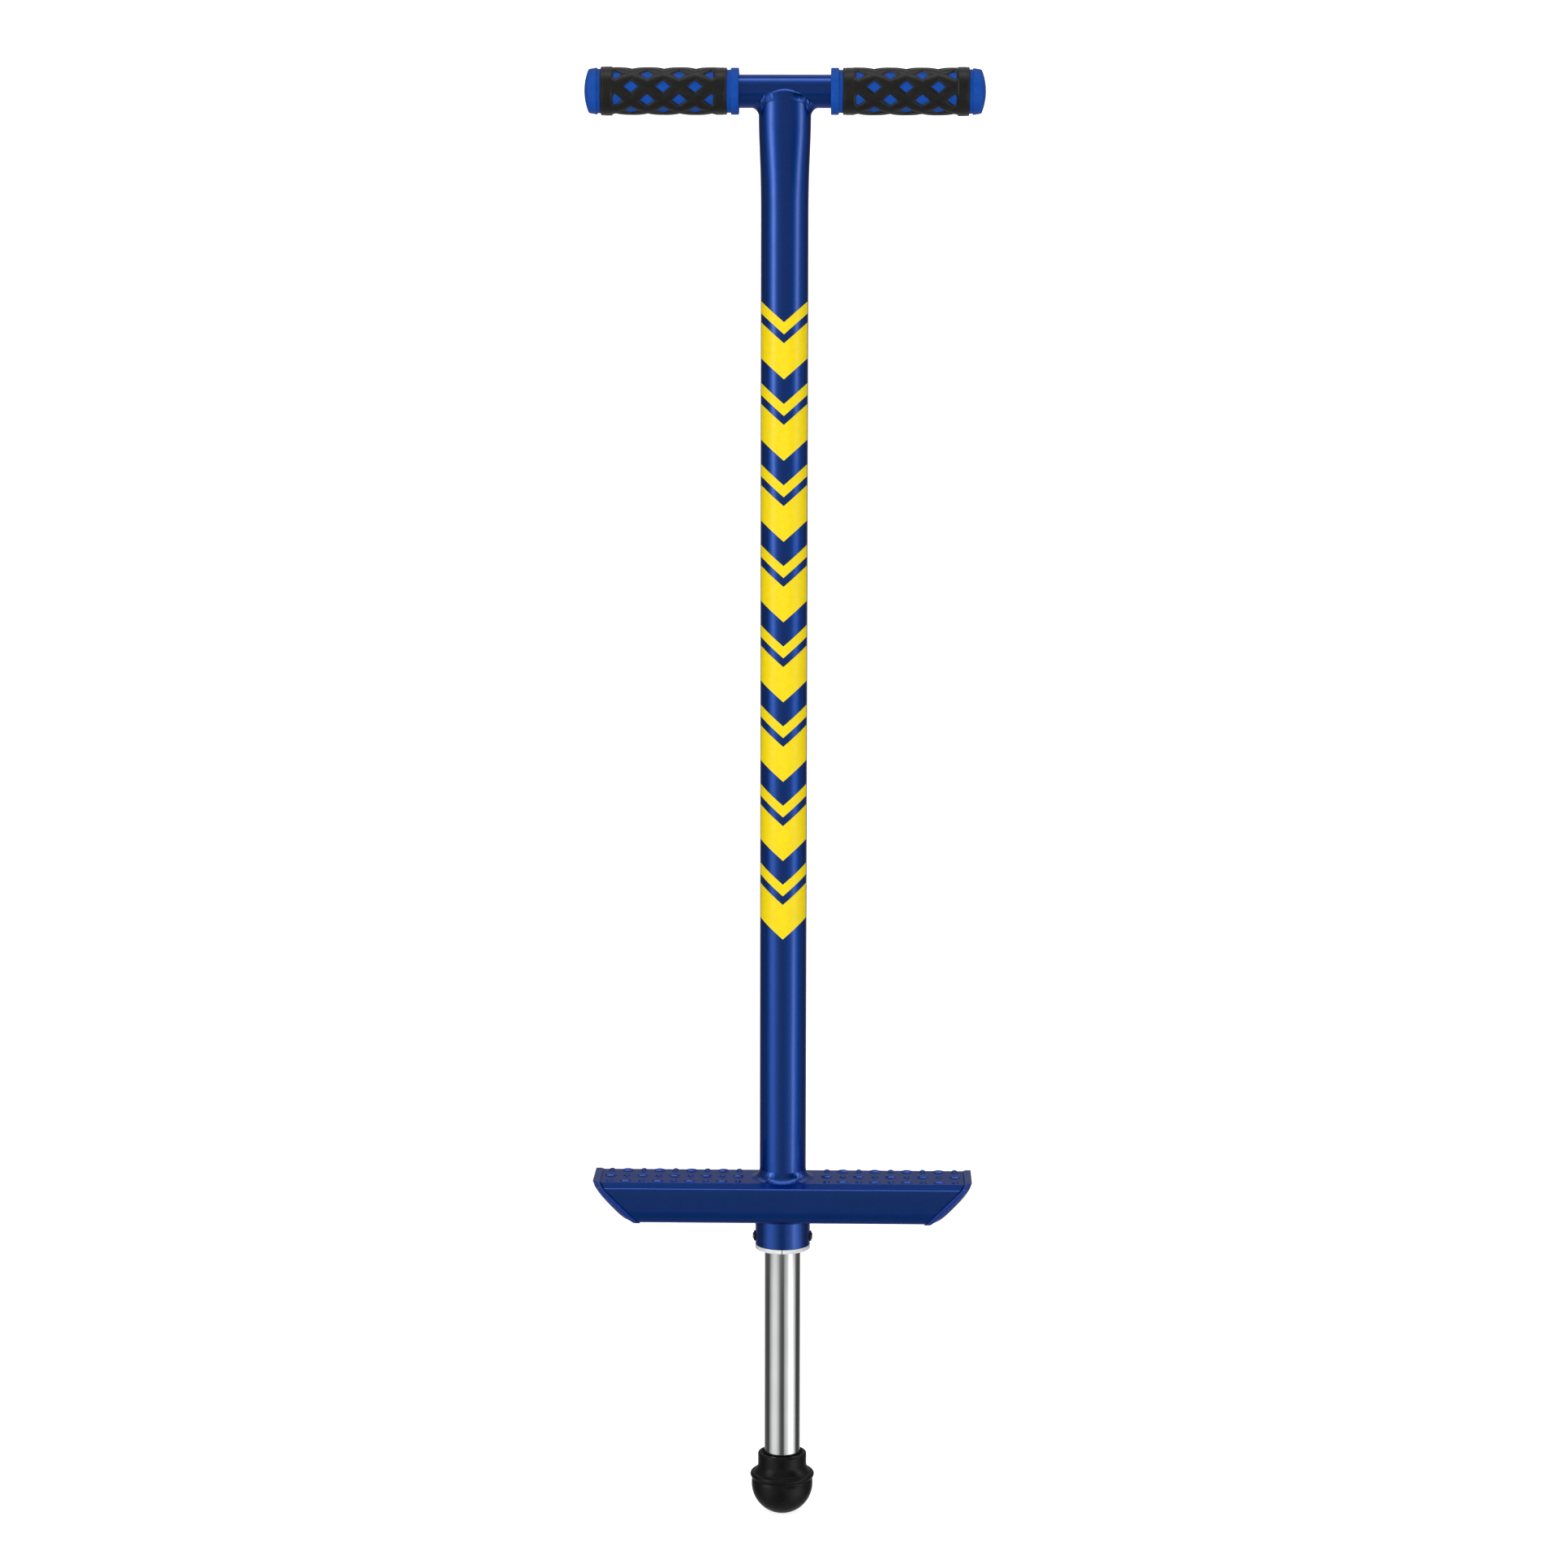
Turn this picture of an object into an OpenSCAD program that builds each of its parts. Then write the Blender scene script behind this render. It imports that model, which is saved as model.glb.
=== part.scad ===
// Spring pogo stick: a round steel stick with a handlebar, one rectangular footplate,
// and a chromed piston that slides up into the stick against a long coil spring.
// Millimetres. +Z is up and -Y is the front, which carries the printed stripes. +X runs along
// the handlebar, and left and right are as seen from the front. The origin is where the
// rubber tip's centre touches the ground.

/* [Heights] */
// Height of the handlebar's axis
bar_z = 984; // [960:1:1010]
// How far the piston slides up into the main tube
stroke = 110; // [100:5:120]
// Room left between the rubber tip and the bushing at full travel
spare_travel = 37; // [30:1:45]

/* [Main tube] */
// Outer diameter of the main tube
tube_d = 32; // [32:0.1:32.4]
// Wall of the main tube
tube_wall = 1.5; // [1.2:0.1:1.6]
// Width of the flattened top, along the handlebar
flare_w = 35; // [34:0.1:37]
// Depth of the flattened top, front to back
flare_t = 28.5; // [27:0.1:30]

/* [Handlebar and grips] */
// Outer diameter of the handlebar tube
bar_d = 22.2; // [22:0.1:22.4]
// Wall of the handlebar tube
bar_wall = 1.6; // [1.2:0.1:2]
// Distance from the middle to the grip's inner flange
grip_start = 30.7; // [28:0.1:34]
// Distance from the middle to the tip of the grip's domed end
grip_end = 133.9; // [130:0.1:140]
// Diameter of the grip's flange and end
grip_d = 31; // [30:0.1:32]
// Diameter of the grip's core under the lattice
core_d = 28.4; // [28:0.1:29]
// Diameter over the lattice's strands
lattice_d = 31.6; // [31:0.1:32]
// Rows of diamond windows round the lattice
lattice_rows = 10; // [8:2:12]
// Length of one diamond window along the grip
window_l = 9.8; // [8:0.1:11]
// Width of one diamond window round the grip
window_w = 9.2; // [7:0.1:9.5]

/* [Footplate] */
// Depth of the footplate, front to back
plate_y = 54; // [52:0.5:58]
// Height of the footplate's section
plate_h = 27.7; // [25:0.1:30]
// Wall of the footplate
plate_wall = 1.6; // [1.4:0.1:2]
// Radius of the footplate's lower corners
plate_r = 5.5; // [4:0.1:6]
// Length of the sloping shoulder in front of and behind the flat tread
shoulder_l = 6; // [5:0.1:7]
// Slope of the shoulder, in degrees
shoulder_a = 22; // [16:1:26]
// Half the footplate's length along its top
plate_half = 125.5; // [124:0.5:135]
// Tread lugs in each row, on each side
lug_count = 9; // [7:1:9]
// Length of one lens-shaped tread lug
lug_l = 8.7; // [7:0.1:9]
// Width of one tread lug
lug_w = 5.2; // [4.2:0.1:6]
// Height of one tread lug
lug_h = 1.3; // [0.8:0.1:1.6]

/* [Piston] */
// Outer diameter of the chromed piston tube
piston_d = 25; // [24.8:0.1:25.2]
// Wall of the piston tube
piston_wall = 2; // [1.6:0.1:2.4]
// Height of the piston tube's top end with the piston fully out
piston_top = 334; // [320:1:345]

/* [Spring] */
// Wire diameter of the spring
wire_d = 4.2; // [4:0.1:4.4]
// Mean diameter of the spring's coils
coil_d = 23; // [22.6:0.1:23.4]
// Length of the spring with the piston fully out
spring_l = 400; // [380:5:420]
// Active turns of the spring, without the closed turn at each end
spring_turns = 36; // [34:1:38]

/* [Rubber tip] */
// Radius of the tip's ball
ball_r = 21.4; // [20:0.1:23]
// Outer diameter of the tip's sleeve
sleeve_d = 33.8; // [33:0.1:36]
// Height of the tip's sleeve above the ground
tip_h = 44; // [42:0.5:48]

/* [Hidden] */
$fn = 96;

paint_blue = [0.07, 0.13, 0.42];
grip_blue = [0.12, 0.3, 0.68];
rubber_black = [0.08, 0.08, 0.08];
print_yellow = [0.98, 0.85, 0.05];
weld_blue = [0.09, 0.17, 0.5];
past = 1; // how far a cutting tool runs past the face it cuts

// Heights, from the rubber tip up to the footplate
collar_drop = 20; // how far the lower collar hangs below the footplate
flange_h = 3; // height of the bushing's flange
plate_z = tip_h + stroke + spare_travel + flange_h + collar_drop; // the footplate's underside
plate_top = plate_z + plate_h;

// Main tube
tube_r = tube_d / 2;
bore_r = tube_r - tube_wall;
tube_bottom = plate_z - 1;
flare_from = bar_z - 89; // where the round tube starts to flatten
flare_to = bar_z - 16; // above here the section stays the same
flare_steps = [0, 0.35, 0.75, 1];
flare_bulge = [0, 0.1, 0.72, 1]; // how far the section has changed at each step
slice_t = 0.5; // thickness of a slice that the flare's hulls join
slice_sides = 36;
arch_z = bar_z - 3; // top of the tube's front and back walls, beside the handlebar
bar_r = bar_d / 2;

// Grips, as distances from the middle
flange_l = 5.3;
lattice_start = grip_start + 8;
lattice_l = 84.1;
lattice_end = lattice_start + lattice_l;
band_l = 8;
inner_band_d = lattice_d - 0.4;
outer_band_d = lattice_d + 0.8;
neck_l = 2.5; // of the core's raised neck, between the lattice and the grip's end
neck_r = core_d / 2 + 0.45;
cap_start = lattice_end + neck_l;
dome_h = 2.9;
dome_r = grip_d / 2 - 1;
dome_sphere = (dome_r * dome_r + dome_h * dome_h) / (2 * dome_h);
dome_angle = asin(dome_r / dome_sphere);
dome_steps = 8;
bar_half = cap_start - 0.5;
blind_end = bar_half + 0.5; // end of the bore that takes the handlebar
window_step = 21.3; // from one window to the next in a row
row_angle = 360 / lattice_rows;
first_row = 11; // angle of the first row above the front
end_window_x = 33.3; // where the bands cut the outermost windows flat

// Footplate, whose section is measured from its own centre
shoulder_r = 3; // radius at both ends of the shoulder
shoulder_n = [sin(shoulder_a), cos(shoulder_a)]; // the shoulder's outward direction
shoulder_y = plate_y / 2 - shoulder_r;
crest_y = shoulder_y - shoulder_l * cos(shoulder_a);
crest_z = plate_h / 2 - shoulder_r;
shoulder_z = crest_z - shoulder_l * sin(shoulder_a);
lug_first = 30.6;
lug_step = 11.1;
lug_row_y = 15;
lug_ridge = (lug_l * lug_l / 4 + lug_h * lug_h) / (2 * lug_h); // radius of the lug's ridge
lug_depth = lug_ridge - lug_h; // depth of the lug's two spheres below the tread
lug_off = (lug_l * lug_l - lug_w * lug_w) / (4 * lug_w); // from the lug to each sphere's centre
lug_sphere = sqrt(lug_ridge * lug_ridge + lug_off * lug_off);

// End caps, as distances out from the footplate's mitre
cap_gap = 0.65; // leaves the proud flange clear of the footplate's flat faces
cap_proud = 0.8; // how far the flange stands out beyond the footplate's section
cap_flange = 3.4;
cap_dome = 7.8;
cap_along_r = 46; // bulge of the dome along the mitre's slope
cap_across_r = 78; // bulge of the dome front to back
cap_spigot = 14; // length of the spigot inside the footplate
spigot_clear = 0.1;
spigot_hollow_y = plate_y - 13;
spigot_hollow_z = plate_h - 12;
cap_span = 120; // size of the blocks that cut the caps

// Welds
weld_leg = 6.6; // of the weld on the footplate
weld_root = plate_wall + 1.5; // depth of the weld's root below the tread
weld_hollow = weld_leg - 1; // radius of the weld's concave face
collar_leg = 2.2; // of the weld under the footplate
collar_root = plate_wall + 1;
bar_weld = 3.2; // of the weld at the handlebar
bar_weld_proud = 0.4; // how far that weld stands out in front

// Lower collar and bushing
collar_r = 19;
collar_z = plate_z - collar_drop;
collar_top = plate_z + 7;
flange_z = collar_z - flange_h;
bushing_bore = piston_d / 2 + 0.1;
bushing_top = plate_z - 2;
slit_w = 0.6;
screw_z = collar_z + 5.5;
screw_from = bushing_bore + 1;
screw_d = 3;
screw_head_d = 4.6;
screw_head_h = 0.8;
washer_d = 7.3;
washer_t = 1;

// Bumper and stop, just above the bushing
bumper_h = 8;
bumper_top = bushing_top + bumper_h;
bumper_hole_r = piston_d / 2 + 0.4;
stop_z = bumper_top + 0.3;
stop_h = 8;

// Inside the main tube's bore
snug = 0.2; // clearance of the bumper
loose = 0.3; // clearance of the stop collar and the spring
washer_clear = 0.4; // clearance of the spring's lower washer
upper_seat_h = 4;
upper_seat_hole_r = 5;
lower_washer_hole_r = 6;

// Piston's top end
guide_l = 34;
guide_cap = 3;
guide_hole_r = 5;
guide_clear = 0.08;
guide_top = piston_top + guide_cap;
pin_d = 4;
pin_z = piston_top - 14;
pin_half = bore_r - 0.5;
film = 0.1; // grease between the guide and the spring's washer
lower_washer_t = 2.5;
spring_z = guide_top + film + lower_washer_t;
spring_top = spring_z + spring_l;

// Spring, made of half turns that rise by one of two steps
closed_rise = (wire_d + 0.25) / 2;
closed_halves = 2;
half_step = 0.03; // every second half turn is this much thinner, so each pair meets at an edge
coil_sides = 48;
wire_sides = 24;
halves = 2 * spring_turns + 2 * closed_halves;
open_rise = (spring_l - 2 * closed_halves * closed_rise) / (2 * spring_turns);
function rise(i) = (i < closed_halves || i >= halves - closed_halves) ? closed_rise : open_rise;
function height(i) = i == 0 ? 0 : height(i - 1) + rise(i - 1);

// Rubber tip
piston_bottom = 16;
insert_t = 3;
ball_top = 24.8; // where the ball's straight side ends
waist_r = ball_r - 0.4; // in the groove between the ball and the bead
bead_z = 28;
bead_r = 2;
bead_reach = ball_r + 0.9; // outer radius of the bead
skirt_z = bead_z + 1.5;
skirt_r = ball_r - 0.9; // widest radius of the cone above the bead
sleeve_z = 35;
sleeve_r = sleeve_d / 2;
rim_r = 1.2;
mouth_h = 1.5; // depth of the chamfer where the piston goes in
mouth_r = piston_d / 2 + 2;

// Printed stripes, as heights up the tube
print_from = 412;
print_to = 848;
print_t = 0.12;
print_half = 15.52; // the stripes stop just short of the tube's silhouette
print_pitch = 54.5;
print_dip = 14; // how far a chevron's point lies below its ends
wide_h = 24;
slim_h = 8;
slim_rise = 30; // from a wide chevron's foot to the slim one's above it

// ---------- shared shapes ----------

module tube(r_out, r_in, from, to) {
    difference() {
        translate([0, 0, from])
            cylinder(r = r_out, h = to - from);
        translate([0, 0, from - past])
            cylinder(r = r_in, h = to - from + 2 * past);
    }
}

// A rod along X, from one distance to another
module rod_x(r, from, to) {
    translate([from, 0, 0])
        rotate([0, 90, 0])
            cylinder(r = r, h = to - from);
}

module rounded_rect(w, h, r) {
    square([w - 2 * r, h], center = true);
    square([w, h - 2 * r], center = true);
    for (sx = [-1, 1], sy = [-1, 1])
        translate([sx * (w / 2 - r), sy * (h / 2 - r)])
            circle(r = r);
}

// Corners of one side of the footplate's section where its straight lines and arcs meet,
// with r the grown radius of the shoulder's ends
function plate_points(side, extra, r) = [
    [side * crest_y, crest_z + r],
    [side * (crest_y + r * shoulder_n.x), crest_z + r * shoulder_n.y],
    [side * (shoulder_y + r * shoulder_n.x), shoulder_z + r * shoulder_n.y],
    [side * (plate_y / 2 + extra), shoulder_z],
    [side * (plate_y / 2 + extra), plate_r - plate_h / 2],
    [side * (plate_y / 2 - plate_r), -plate_h / 2 - extra]
];

// The footplate's section: flat top, sloping shoulders and rounded corners, grown by extra
module plate_section(extra) {
    r = shoulder_r + extra;
    left = plate_points(-1, extra, r);
    polygon(concat(plate_points(1, extra, r), [for (k = [len(left) - 1 : -1 : 0]) left[k]]));
    for (side = [-1, 1]) {
        translate([side * crest_y, crest_z])
            circle(r = r);
        translate([side * shoulder_y, shoulder_z])
            circle(r = r);
        translate([side * (plate_y / 2 - plate_r), plate_r - plate_h / 2])
            circle(r = plate_r + extra);
    }
}

// A section in Y and Z, run along X at the footplate's height
module plate_run(from, to) {
    translate([from, 0, plate_z + plate_h / 2])
        rotate([90, 0, 90])
            linear_extrude(height = to - from)
                children();
}

module plate_bar(extra, from, to) {
    plate_run(from, to)
        plate_section(extra);
}

// A block that starts at the right mitre's plane, moved out along that plane's normal
module mitre_block(out) {
    translate([plate_half, 0, plate_top])
        rotate([0, 45, 0])
            translate([out, -cap_span / 2, -cap_span])
                cube([cap_span, cap_span, 2 * cap_span]);
}

module beyond_mitre(out) {
    mitre_block(out);
}

module inside_mitre(out) {
    mitre_block(out - cap_span);
}

// ---------- frame ----------

// One thin slice of the flattening top, inset by the wall
module flare_slice(k, inset) {
    w = tube_d + (flare_w - tube_d) * flare_bulge[k];
    t = tube_d + (flare_t - tube_d) * flare_bulge[k];
    translate([0, 0, flare_from + (flare_to - flare_from) * flare_steps[k]])
        linear_extrude(height = slice_t)
            scale([w / 2 - inset, t / 2 - inset])
                circle(r = 1, $fn = slice_sides);
}

module flare_body(inset) {
    for (k = [0 : len(flare_steps) - 2])
        hull() {
            flare_slice(k, inset);
            flare_slice(k + 1, inset);
        }
}

// The flattened section above the flare, inset by the wall
module flat_top(inset, to) {
    translate([0, 0, flare_to])
        linear_extrude(height = to - flare_to)
            scale([flare_w / 2 - inset, flare_t / 2 - inset])
                circle(r = 1);
}

module main_tube() {
    color(paint_blue)
        difference() {
            union() {
                tube(tube_r, bore_r, tube_bottom, flare_from);
                difference() {
                    flare_body(0);
                    flare_body(tube_wall);
                }
                difference() {
                    flat_top(0, arch_z);
                    translate([0, 0, -past / 2])
                        flat_top(tube_wall, arch_z + past);
                }
            }
            translate([0, 0, bar_z])
                rod_x(bar_r, -flare_w, flare_w);
        }
}

module handlebar_tube() {
    color(paint_blue)
        translate([0, 0, bar_z])
            difference() {
                rod_x(bar_r, -bar_half, bar_half);
                rod_x(bar_r - bar_wall, -bar_half - past, bar_half + past);
            }
}

// Bead that follows the joint of the main tube and the handlebar
module handlebar_weld() {
    color(weld_blue)
        difference() {
            intersection() {
                translate([0, 0, bar_z])
                    rod_x(bar_r + bar_weld, -flare_w, flare_w);
                translate([0, 0, bar_z - bar_r - bar_weld])
                    linear_extrude(height = bar_r + bar_weld)
                        scale([flare_w / 2 + bar_weld, flare_t / 2 + bar_weld_proud])
                            circle(r = 1);
            }
            translate([0, 0, bar_z])
                rod_x(bar_r, -flare_w, flare_w);
            translate([0, 0, -past])
                flat_top(0, arch_z + past);
        }
}

// ---------- footplate ----------

module lug_ball(side) {
    translate([0, side * lug_off, -lug_depth])
        sphere(r = lug_sphere);
}

// Lens-shaped lug along X, the overlap of two low balls, sunk a little into the tread
module lug() {
    sunk = 0.5;
    intersection() {
        lug_ball(-1);
        lug_ball(1);
        translate([-lug_l, -lug_l, -sunk])
            cube([2 * lug_l, 2 * lug_l, lug_h + 2 * sunk]);
    }
}

module lugs() {
    for (side = [-1, 1], k = [0 : lug_count - 1], row = [-1, 0, 1])
        translate([side * (lug_first + lug_step * k), row * lug_row_y, plate_top])
            rotate([0, 0, (k + abs(row)) % 2 == 1 ? 90 : 0])
                lug();
}

module footplate() {
    color(paint_blue)
        difference() {
            union() {
                difference() {
                    plate_bar(0, -plate_half - past, plate_half + past);
                    plate_bar(-plate_wall, -plate_half - 2 * past, plate_half + 2 * past);
                }
                lugs();
            }
            beyond_mitre(0);
            mirror([1, 0, 0])
                beyond_mitre(0);
            translate([0, 0, plate_top - weld_root])
                cylinder(r = tube_r + weld_leg, h = weld_root + past);
            translate([0, 0, plate_z - past])
                cylinder(r = collar_r + collar_leg, h = past + collar_root);
        }
}

// Concave fillet from the tread up the main tube, with its root through the top wall
module footplate_weld() {
    toe = tube_r + weld_leg;
    color(weld_blue)
        difference() {
            union() {
                translate([0, 0, plate_top - weld_root])
                    cylinder(r = toe, h = weld_root);
                translate([0, 0, plate_top])
                    cylinder(r1 = toe, r2 = tube_r, h = weld_leg);
            }
            translate([0, 0, plate_top - weld_root - past])
                cylinder(r = tube_r, h = weld_root + weld_leg + 2 * past);
            translate([0, 0, plate_top + weld_leg])
                rotate_extrude()
                    translate([toe, 0])
                        circle(r = weld_hollow);
        }
}

module collar_weld() {
    toe = collar_r + collar_leg;
    color(weld_blue)
        difference() {
            union() {
                translate([0, 0, plate_z])
                    cylinder(r = toe, h = collar_root);
                translate([0, 0, plate_z - collar_leg])
                    cylinder(r1 = collar_r, r2 = toe, h = collar_leg);
            }
            translate([0, 0, plate_z - collar_leg - past])
                cylinder(r = collar_r, h = collar_leg + collar_root + 2 * past);
        }
}

// A round bar whose side bulges to top above the middle of the right mitre
module dome_barrel(r, top, turn) {
    translate([plate_half - plate_h / 2, 0, plate_z + plate_h / 2])
        rotate([0, 135, 0])
            translate([0, 0, top - r])
                rotate([0, 0, turn])
                    rotate([90, 0, 0])
                        cylinder(r = r, h = cap_span, center = true);
}

// The footplate's section near its right end, grown outwards by extra
module cap_bar(extra) {
    plate_bar(extra, plate_half - cap_span / 2, plate_half + 2 * cap_dome);
}

// Plug for the right end: a proud flange on the mitre, a pillow-shaped dome and a hollow spigot
module end_cap() {
    color(grip_blue)
        union() {
            difference() {
                cap_bar(cap_proud);
                inside_mitre(cap_gap);
                beyond_mitre(cap_flange);
            }
            intersection() {
                cap_bar(0);
                beyond_mitre(cap_gap);
                dome_barrel(cap_along_r, cap_dome, 0);
                dome_barrel(cap_across_r, cap_dome, 90);
            }
            difference() {
                cap_bar(-plate_wall - spigot_clear);
                plate_run(plate_half - cap_span, plate_half)
                    rounded_rect(spigot_hollow_y, spigot_hollow_z, shoulder_r);
                beyond_mitre(cap_gap + past / 2);
                translate([-cap_spigot, 0, 0])
                    inside_mitre(0);
            }
        }
}

module left_end_cap() {
    mirror([1, 0, 0])
        end_cap();
}

module right_end_cap() {
    end_cap();
}

// ---------- grips ----------

// Radius and distance along the grip, from the bore's inner end round to the end's rim
function grip_sleeve_outline() = [
    [bar_r, blind_end],
    [bar_r, grip_start],
    [grip_d / 2, grip_start],
    [grip_d / 2, grip_start + flange_l],
    [core_d / 2, grip_start + flange_l],
    [core_d / 2, lattice_end],
    [neck_r, lattice_end],
    [neck_r, cap_start],
    [grip_d / 2, cap_start]
];

// The domed end, from its rim to the middle, and back to the bore's blind end
function grip_dome_outline() = [
    for (k = [0 : dome_steps])
        let (a = dome_angle * (1 - k / dome_steps))
            [dome_sphere * sin(a), grip_end - dome_sphere * (1 - cos(a))],
    [0, blind_end]
];

module grip_core() {
    color(grip_blue)
        translate([0, 0, bar_z])
            rotate([0, 90, 0])
                rotate_extrude()
                    polygon(concat(grip_sleeve_outline(), grip_dome_outline()));
}

// Centres of the windows in one row, from the middle of the lattice
function window_places(row) = row % 2 == 0
    ? [-window_step, 0, window_step]
    : [-1.5 * window_step, -0.5 * window_step, 0.5 * window_step, 1.5 * window_step];

// Cutter for one diamond window, which the end bands may cut short
module window(x) {
    tip_x = window_l / 2;
    tip_y = window_w / 2;
    translate([(lattice_start + lattice_end) / 2, 0, 0])
        rotate([90, 0, 0])
            linear_extrude(height = lattice_d)
                intersection() {
                    polygon([[x - tip_x, 0], [x, tip_y], [x + tip_x, 0], [x, -tip_y]]);
                    square([2 * end_window_x, window_w], center = true);
                }
}

module grip_lattice() {
    color(rubber_black)
        translate([0, 0, bar_z])
            difference() {
                union() {
                    rod_x(lattice_d / 2, lattice_start, lattice_end);
                    rod_x(inner_band_d / 2, lattice_start, lattice_start + band_l);
                    rod_x(outer_band_d / 2, lattice_end - band_l, lattice_end);
                }
                rod_x(core_d / 2, lattice_start - past, lattice_end + past);
                for (row = [0 : lattice_rows - 1])
                    rotate([-first_row + row * row_angle, 0, 0])
                        for (x = window_places(row))
                            window(x);
            }
}

module left_grip_core() {
    mirror([1, 0, 0])
        grip_core();
}

module right_grip_core() {
    grip_core();
}

module left_grip_lattice() {
    mirror([1, 0, 0])
        grip_lattice();
}

module right_grip_lattice() {
    grip_lattice();
}

// ---------- collar, bushing and screws ----------

module lower_collar() {
    color(paint_blue)
        difference() {
            tube(collar_r, tube_r, collar_z, collar_top);
            translate([0, 0, screw_z])
                rod_x(screw_d / 2, -collar_r - past, collar_r + past);
        }
}

// Turned nylon bushing, slit down the front so that the collar can squeeze it
module bottom_bushing() {
    color("white")
        difference() {
            union() {
                translate([0, 0, flange_z])
                    cylinder(r = collar_r, h = flange_h);
                translate([0, 0, collar_z])
                    cylinder(r = tube_r, h = bushing_top - collar_z);
            }
            translate([0, 0, flange_z - past])
                cylinder(r = bushing_bore, h = bushing_top - flange_z + 2 * past);
            translate([-slit_w / 2, -collar_r - past, flange_z - past])
                cube([slit_w, collar_r + past, bushing_top - flange_z + 2 * past]);
            both_sides()
                rod_x(screw_d / 2, screw_from, collar_r);
        }
}

// What lies on the right screw's axis, and its mirror image on the left
module both_sides() {
    for (side = [0, 1])
        mirror([side, 0, 0])
            translate([0, 0, screw_z])
                children();
}

module bushing_screws() {
    color("silver")
        both_sides() {
            rod_x(screw_d / 2, screw_from, collar_r + washer_t);
            rod_x(screw_head_d / 2, collar_r + washer_t, collar_r + washer_t + screw_head_h);
        }
}

module screw_washers() {
    color(rubber_black)
        difference() {
            both_sides()
                rod_x(washer_d / 2, collar_r - past, collar_r + washer_t);
            both_sides()
                rod_x(screw_d / 2, collar_r - 2 * past, collar_r + washer_t + past);
            translate([0, 0, flange_z])
                cylinder(r = collar_r, h = plate_z - flange_z);
        }
}

// ---------- inside the main tube ----------

module upper_spring_seat() {
    color("dimgray")
        tube(bore_r, upper_seat_hole_r, spring_top, spring_top + upper_seat_h);
}

module rebound_bumper() {
    color(rubber_black)
        tube(bore_r - snug, bumper_hole_r, bushing_top, bumper_top);
}

// One half turn of the spring, which starts low at +X and ends high at -X
module half_turn(rise_mm, wire_r) {
    tilt = atan(rise_mm / coil_d);
    rotate([0, tilt, 0])
        rotate_extrude(angle = 180, $fn = coil_sides)
            translate([coil_d / 2 / cos(tilt), 0])
                circle(r = wire_r, $fn = wire_sides);
}

module coil() {
    for (i = [0 : halves - 1])
        translate([0, 0, spring_z + height(i) + rise(i) / 2])
            rotate([0, 0, 180 * (i % 2)])
                half_turn(rise(i), wire_d / 2 - half_step * (i % 2));
}

module spring() {
    color("silver")
        intersection() {
            coil();
            translate([0, 0, spring_z])
                cylinder(r = bore_r - loose, h = spring_l);
        }
}

module lower_spring_washer() {
    color("dimgray")
        tube(bore_r - washer_clear, lower_washer_hole_r, guide_top + film, spring_z);
}

// ---------- printed stripes ----------

// One V-shaped stripe across the front, drawn flat in X and Z, with its ends' foot at z
module chevron(z, h) {
    foot = z - print_dip;
    polygon([[-tube_r, z], [0, foot], [tube_r, z], [tube_r, z + h], [0, foot + h], [-tube_r, z + h]]);
}

// Wide and slim chevrons by turns, all the way up the print
module stripes() {
    for (z = [print_from + print_dip : print_pitch : print_to - slim_rise - slim_h]) {
        chevron(z, wide_h);
        chevron(z + slim_rise, slim_h);
    }
}

// Thin printed film on the front half of the main tube
module tube_graphics() {
    color(print_yellow)
        intersection() {
            tube(tube_r + print_t, tube_r, print_from, print_to);
            rotate([90, 0, 0])
                linear_extrude(height = tube_d)
                    intersection() {
                        stripes();
                        translate([-print_half, print_from])
                            square([2 * print_half, print_to - print_from]);
                    }
        }
}

// ---------- piston ----------

module piston_tube() {
    color("gainsboro")
        difference() {
            tube(piston_d / 2, piston_d / 2 - piston_wall, piston_bottom, piston_top);
            translate([0, 0, pin_z])
                rod_x(pin_d / 2, -piston_d, piston_d);
        }
}

module piston_guide() {
    color("white")
        difference() {
            translate([0, 0, piston_top - guide_l])
                cylinder(r = bore_r - guide_clear, h = guide_l + guide_cap);
            translate([0, 0, piston_top - guide_l - past])
                cylinder(r = piston_d / 2, h = guide_l + past);
            translate([0, 0, piston_top - past])
                cylinder(r = guide_hole_r, h = guide_cap + 2 * past);
            translate([0, 0, pin_z])
                rod_x(pin_d / 2, -piston_d, piston_d);
        }
}

module guide_pin() {
    color("dimgray")
        translate([0, 0, pin_z])
            rod_x(pin_d / 2, -pin_half, pin_half);
}

module stop_collar() {
    color("dimgray")
        tube(bore_r - loose, piston_d / 2, stop_z, stop_z + stop_h);
}

module tip_insert() {
    color("dimgray")
        translate([0, 0, piston_bottom - insert_t])
            cylinder(r = piston_d / 2, h = insert_t);
}

// The tip's ball, with a short straight side above its widest place
module ball_foot() {
    intersection() {
        translate([0, 0, ball_r])
            sphere(r = ball_r);
        cylinder(r = ball_r + past, h = ball_r);
    }
    translate([0, 0, ball_r])
        cylinder(r = ball_r, h = ball_top - ball_r);
    translate([0, 0, ball_r])
        cylinder(r = waist_r, h = bead_z - ball_r);
}

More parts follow.
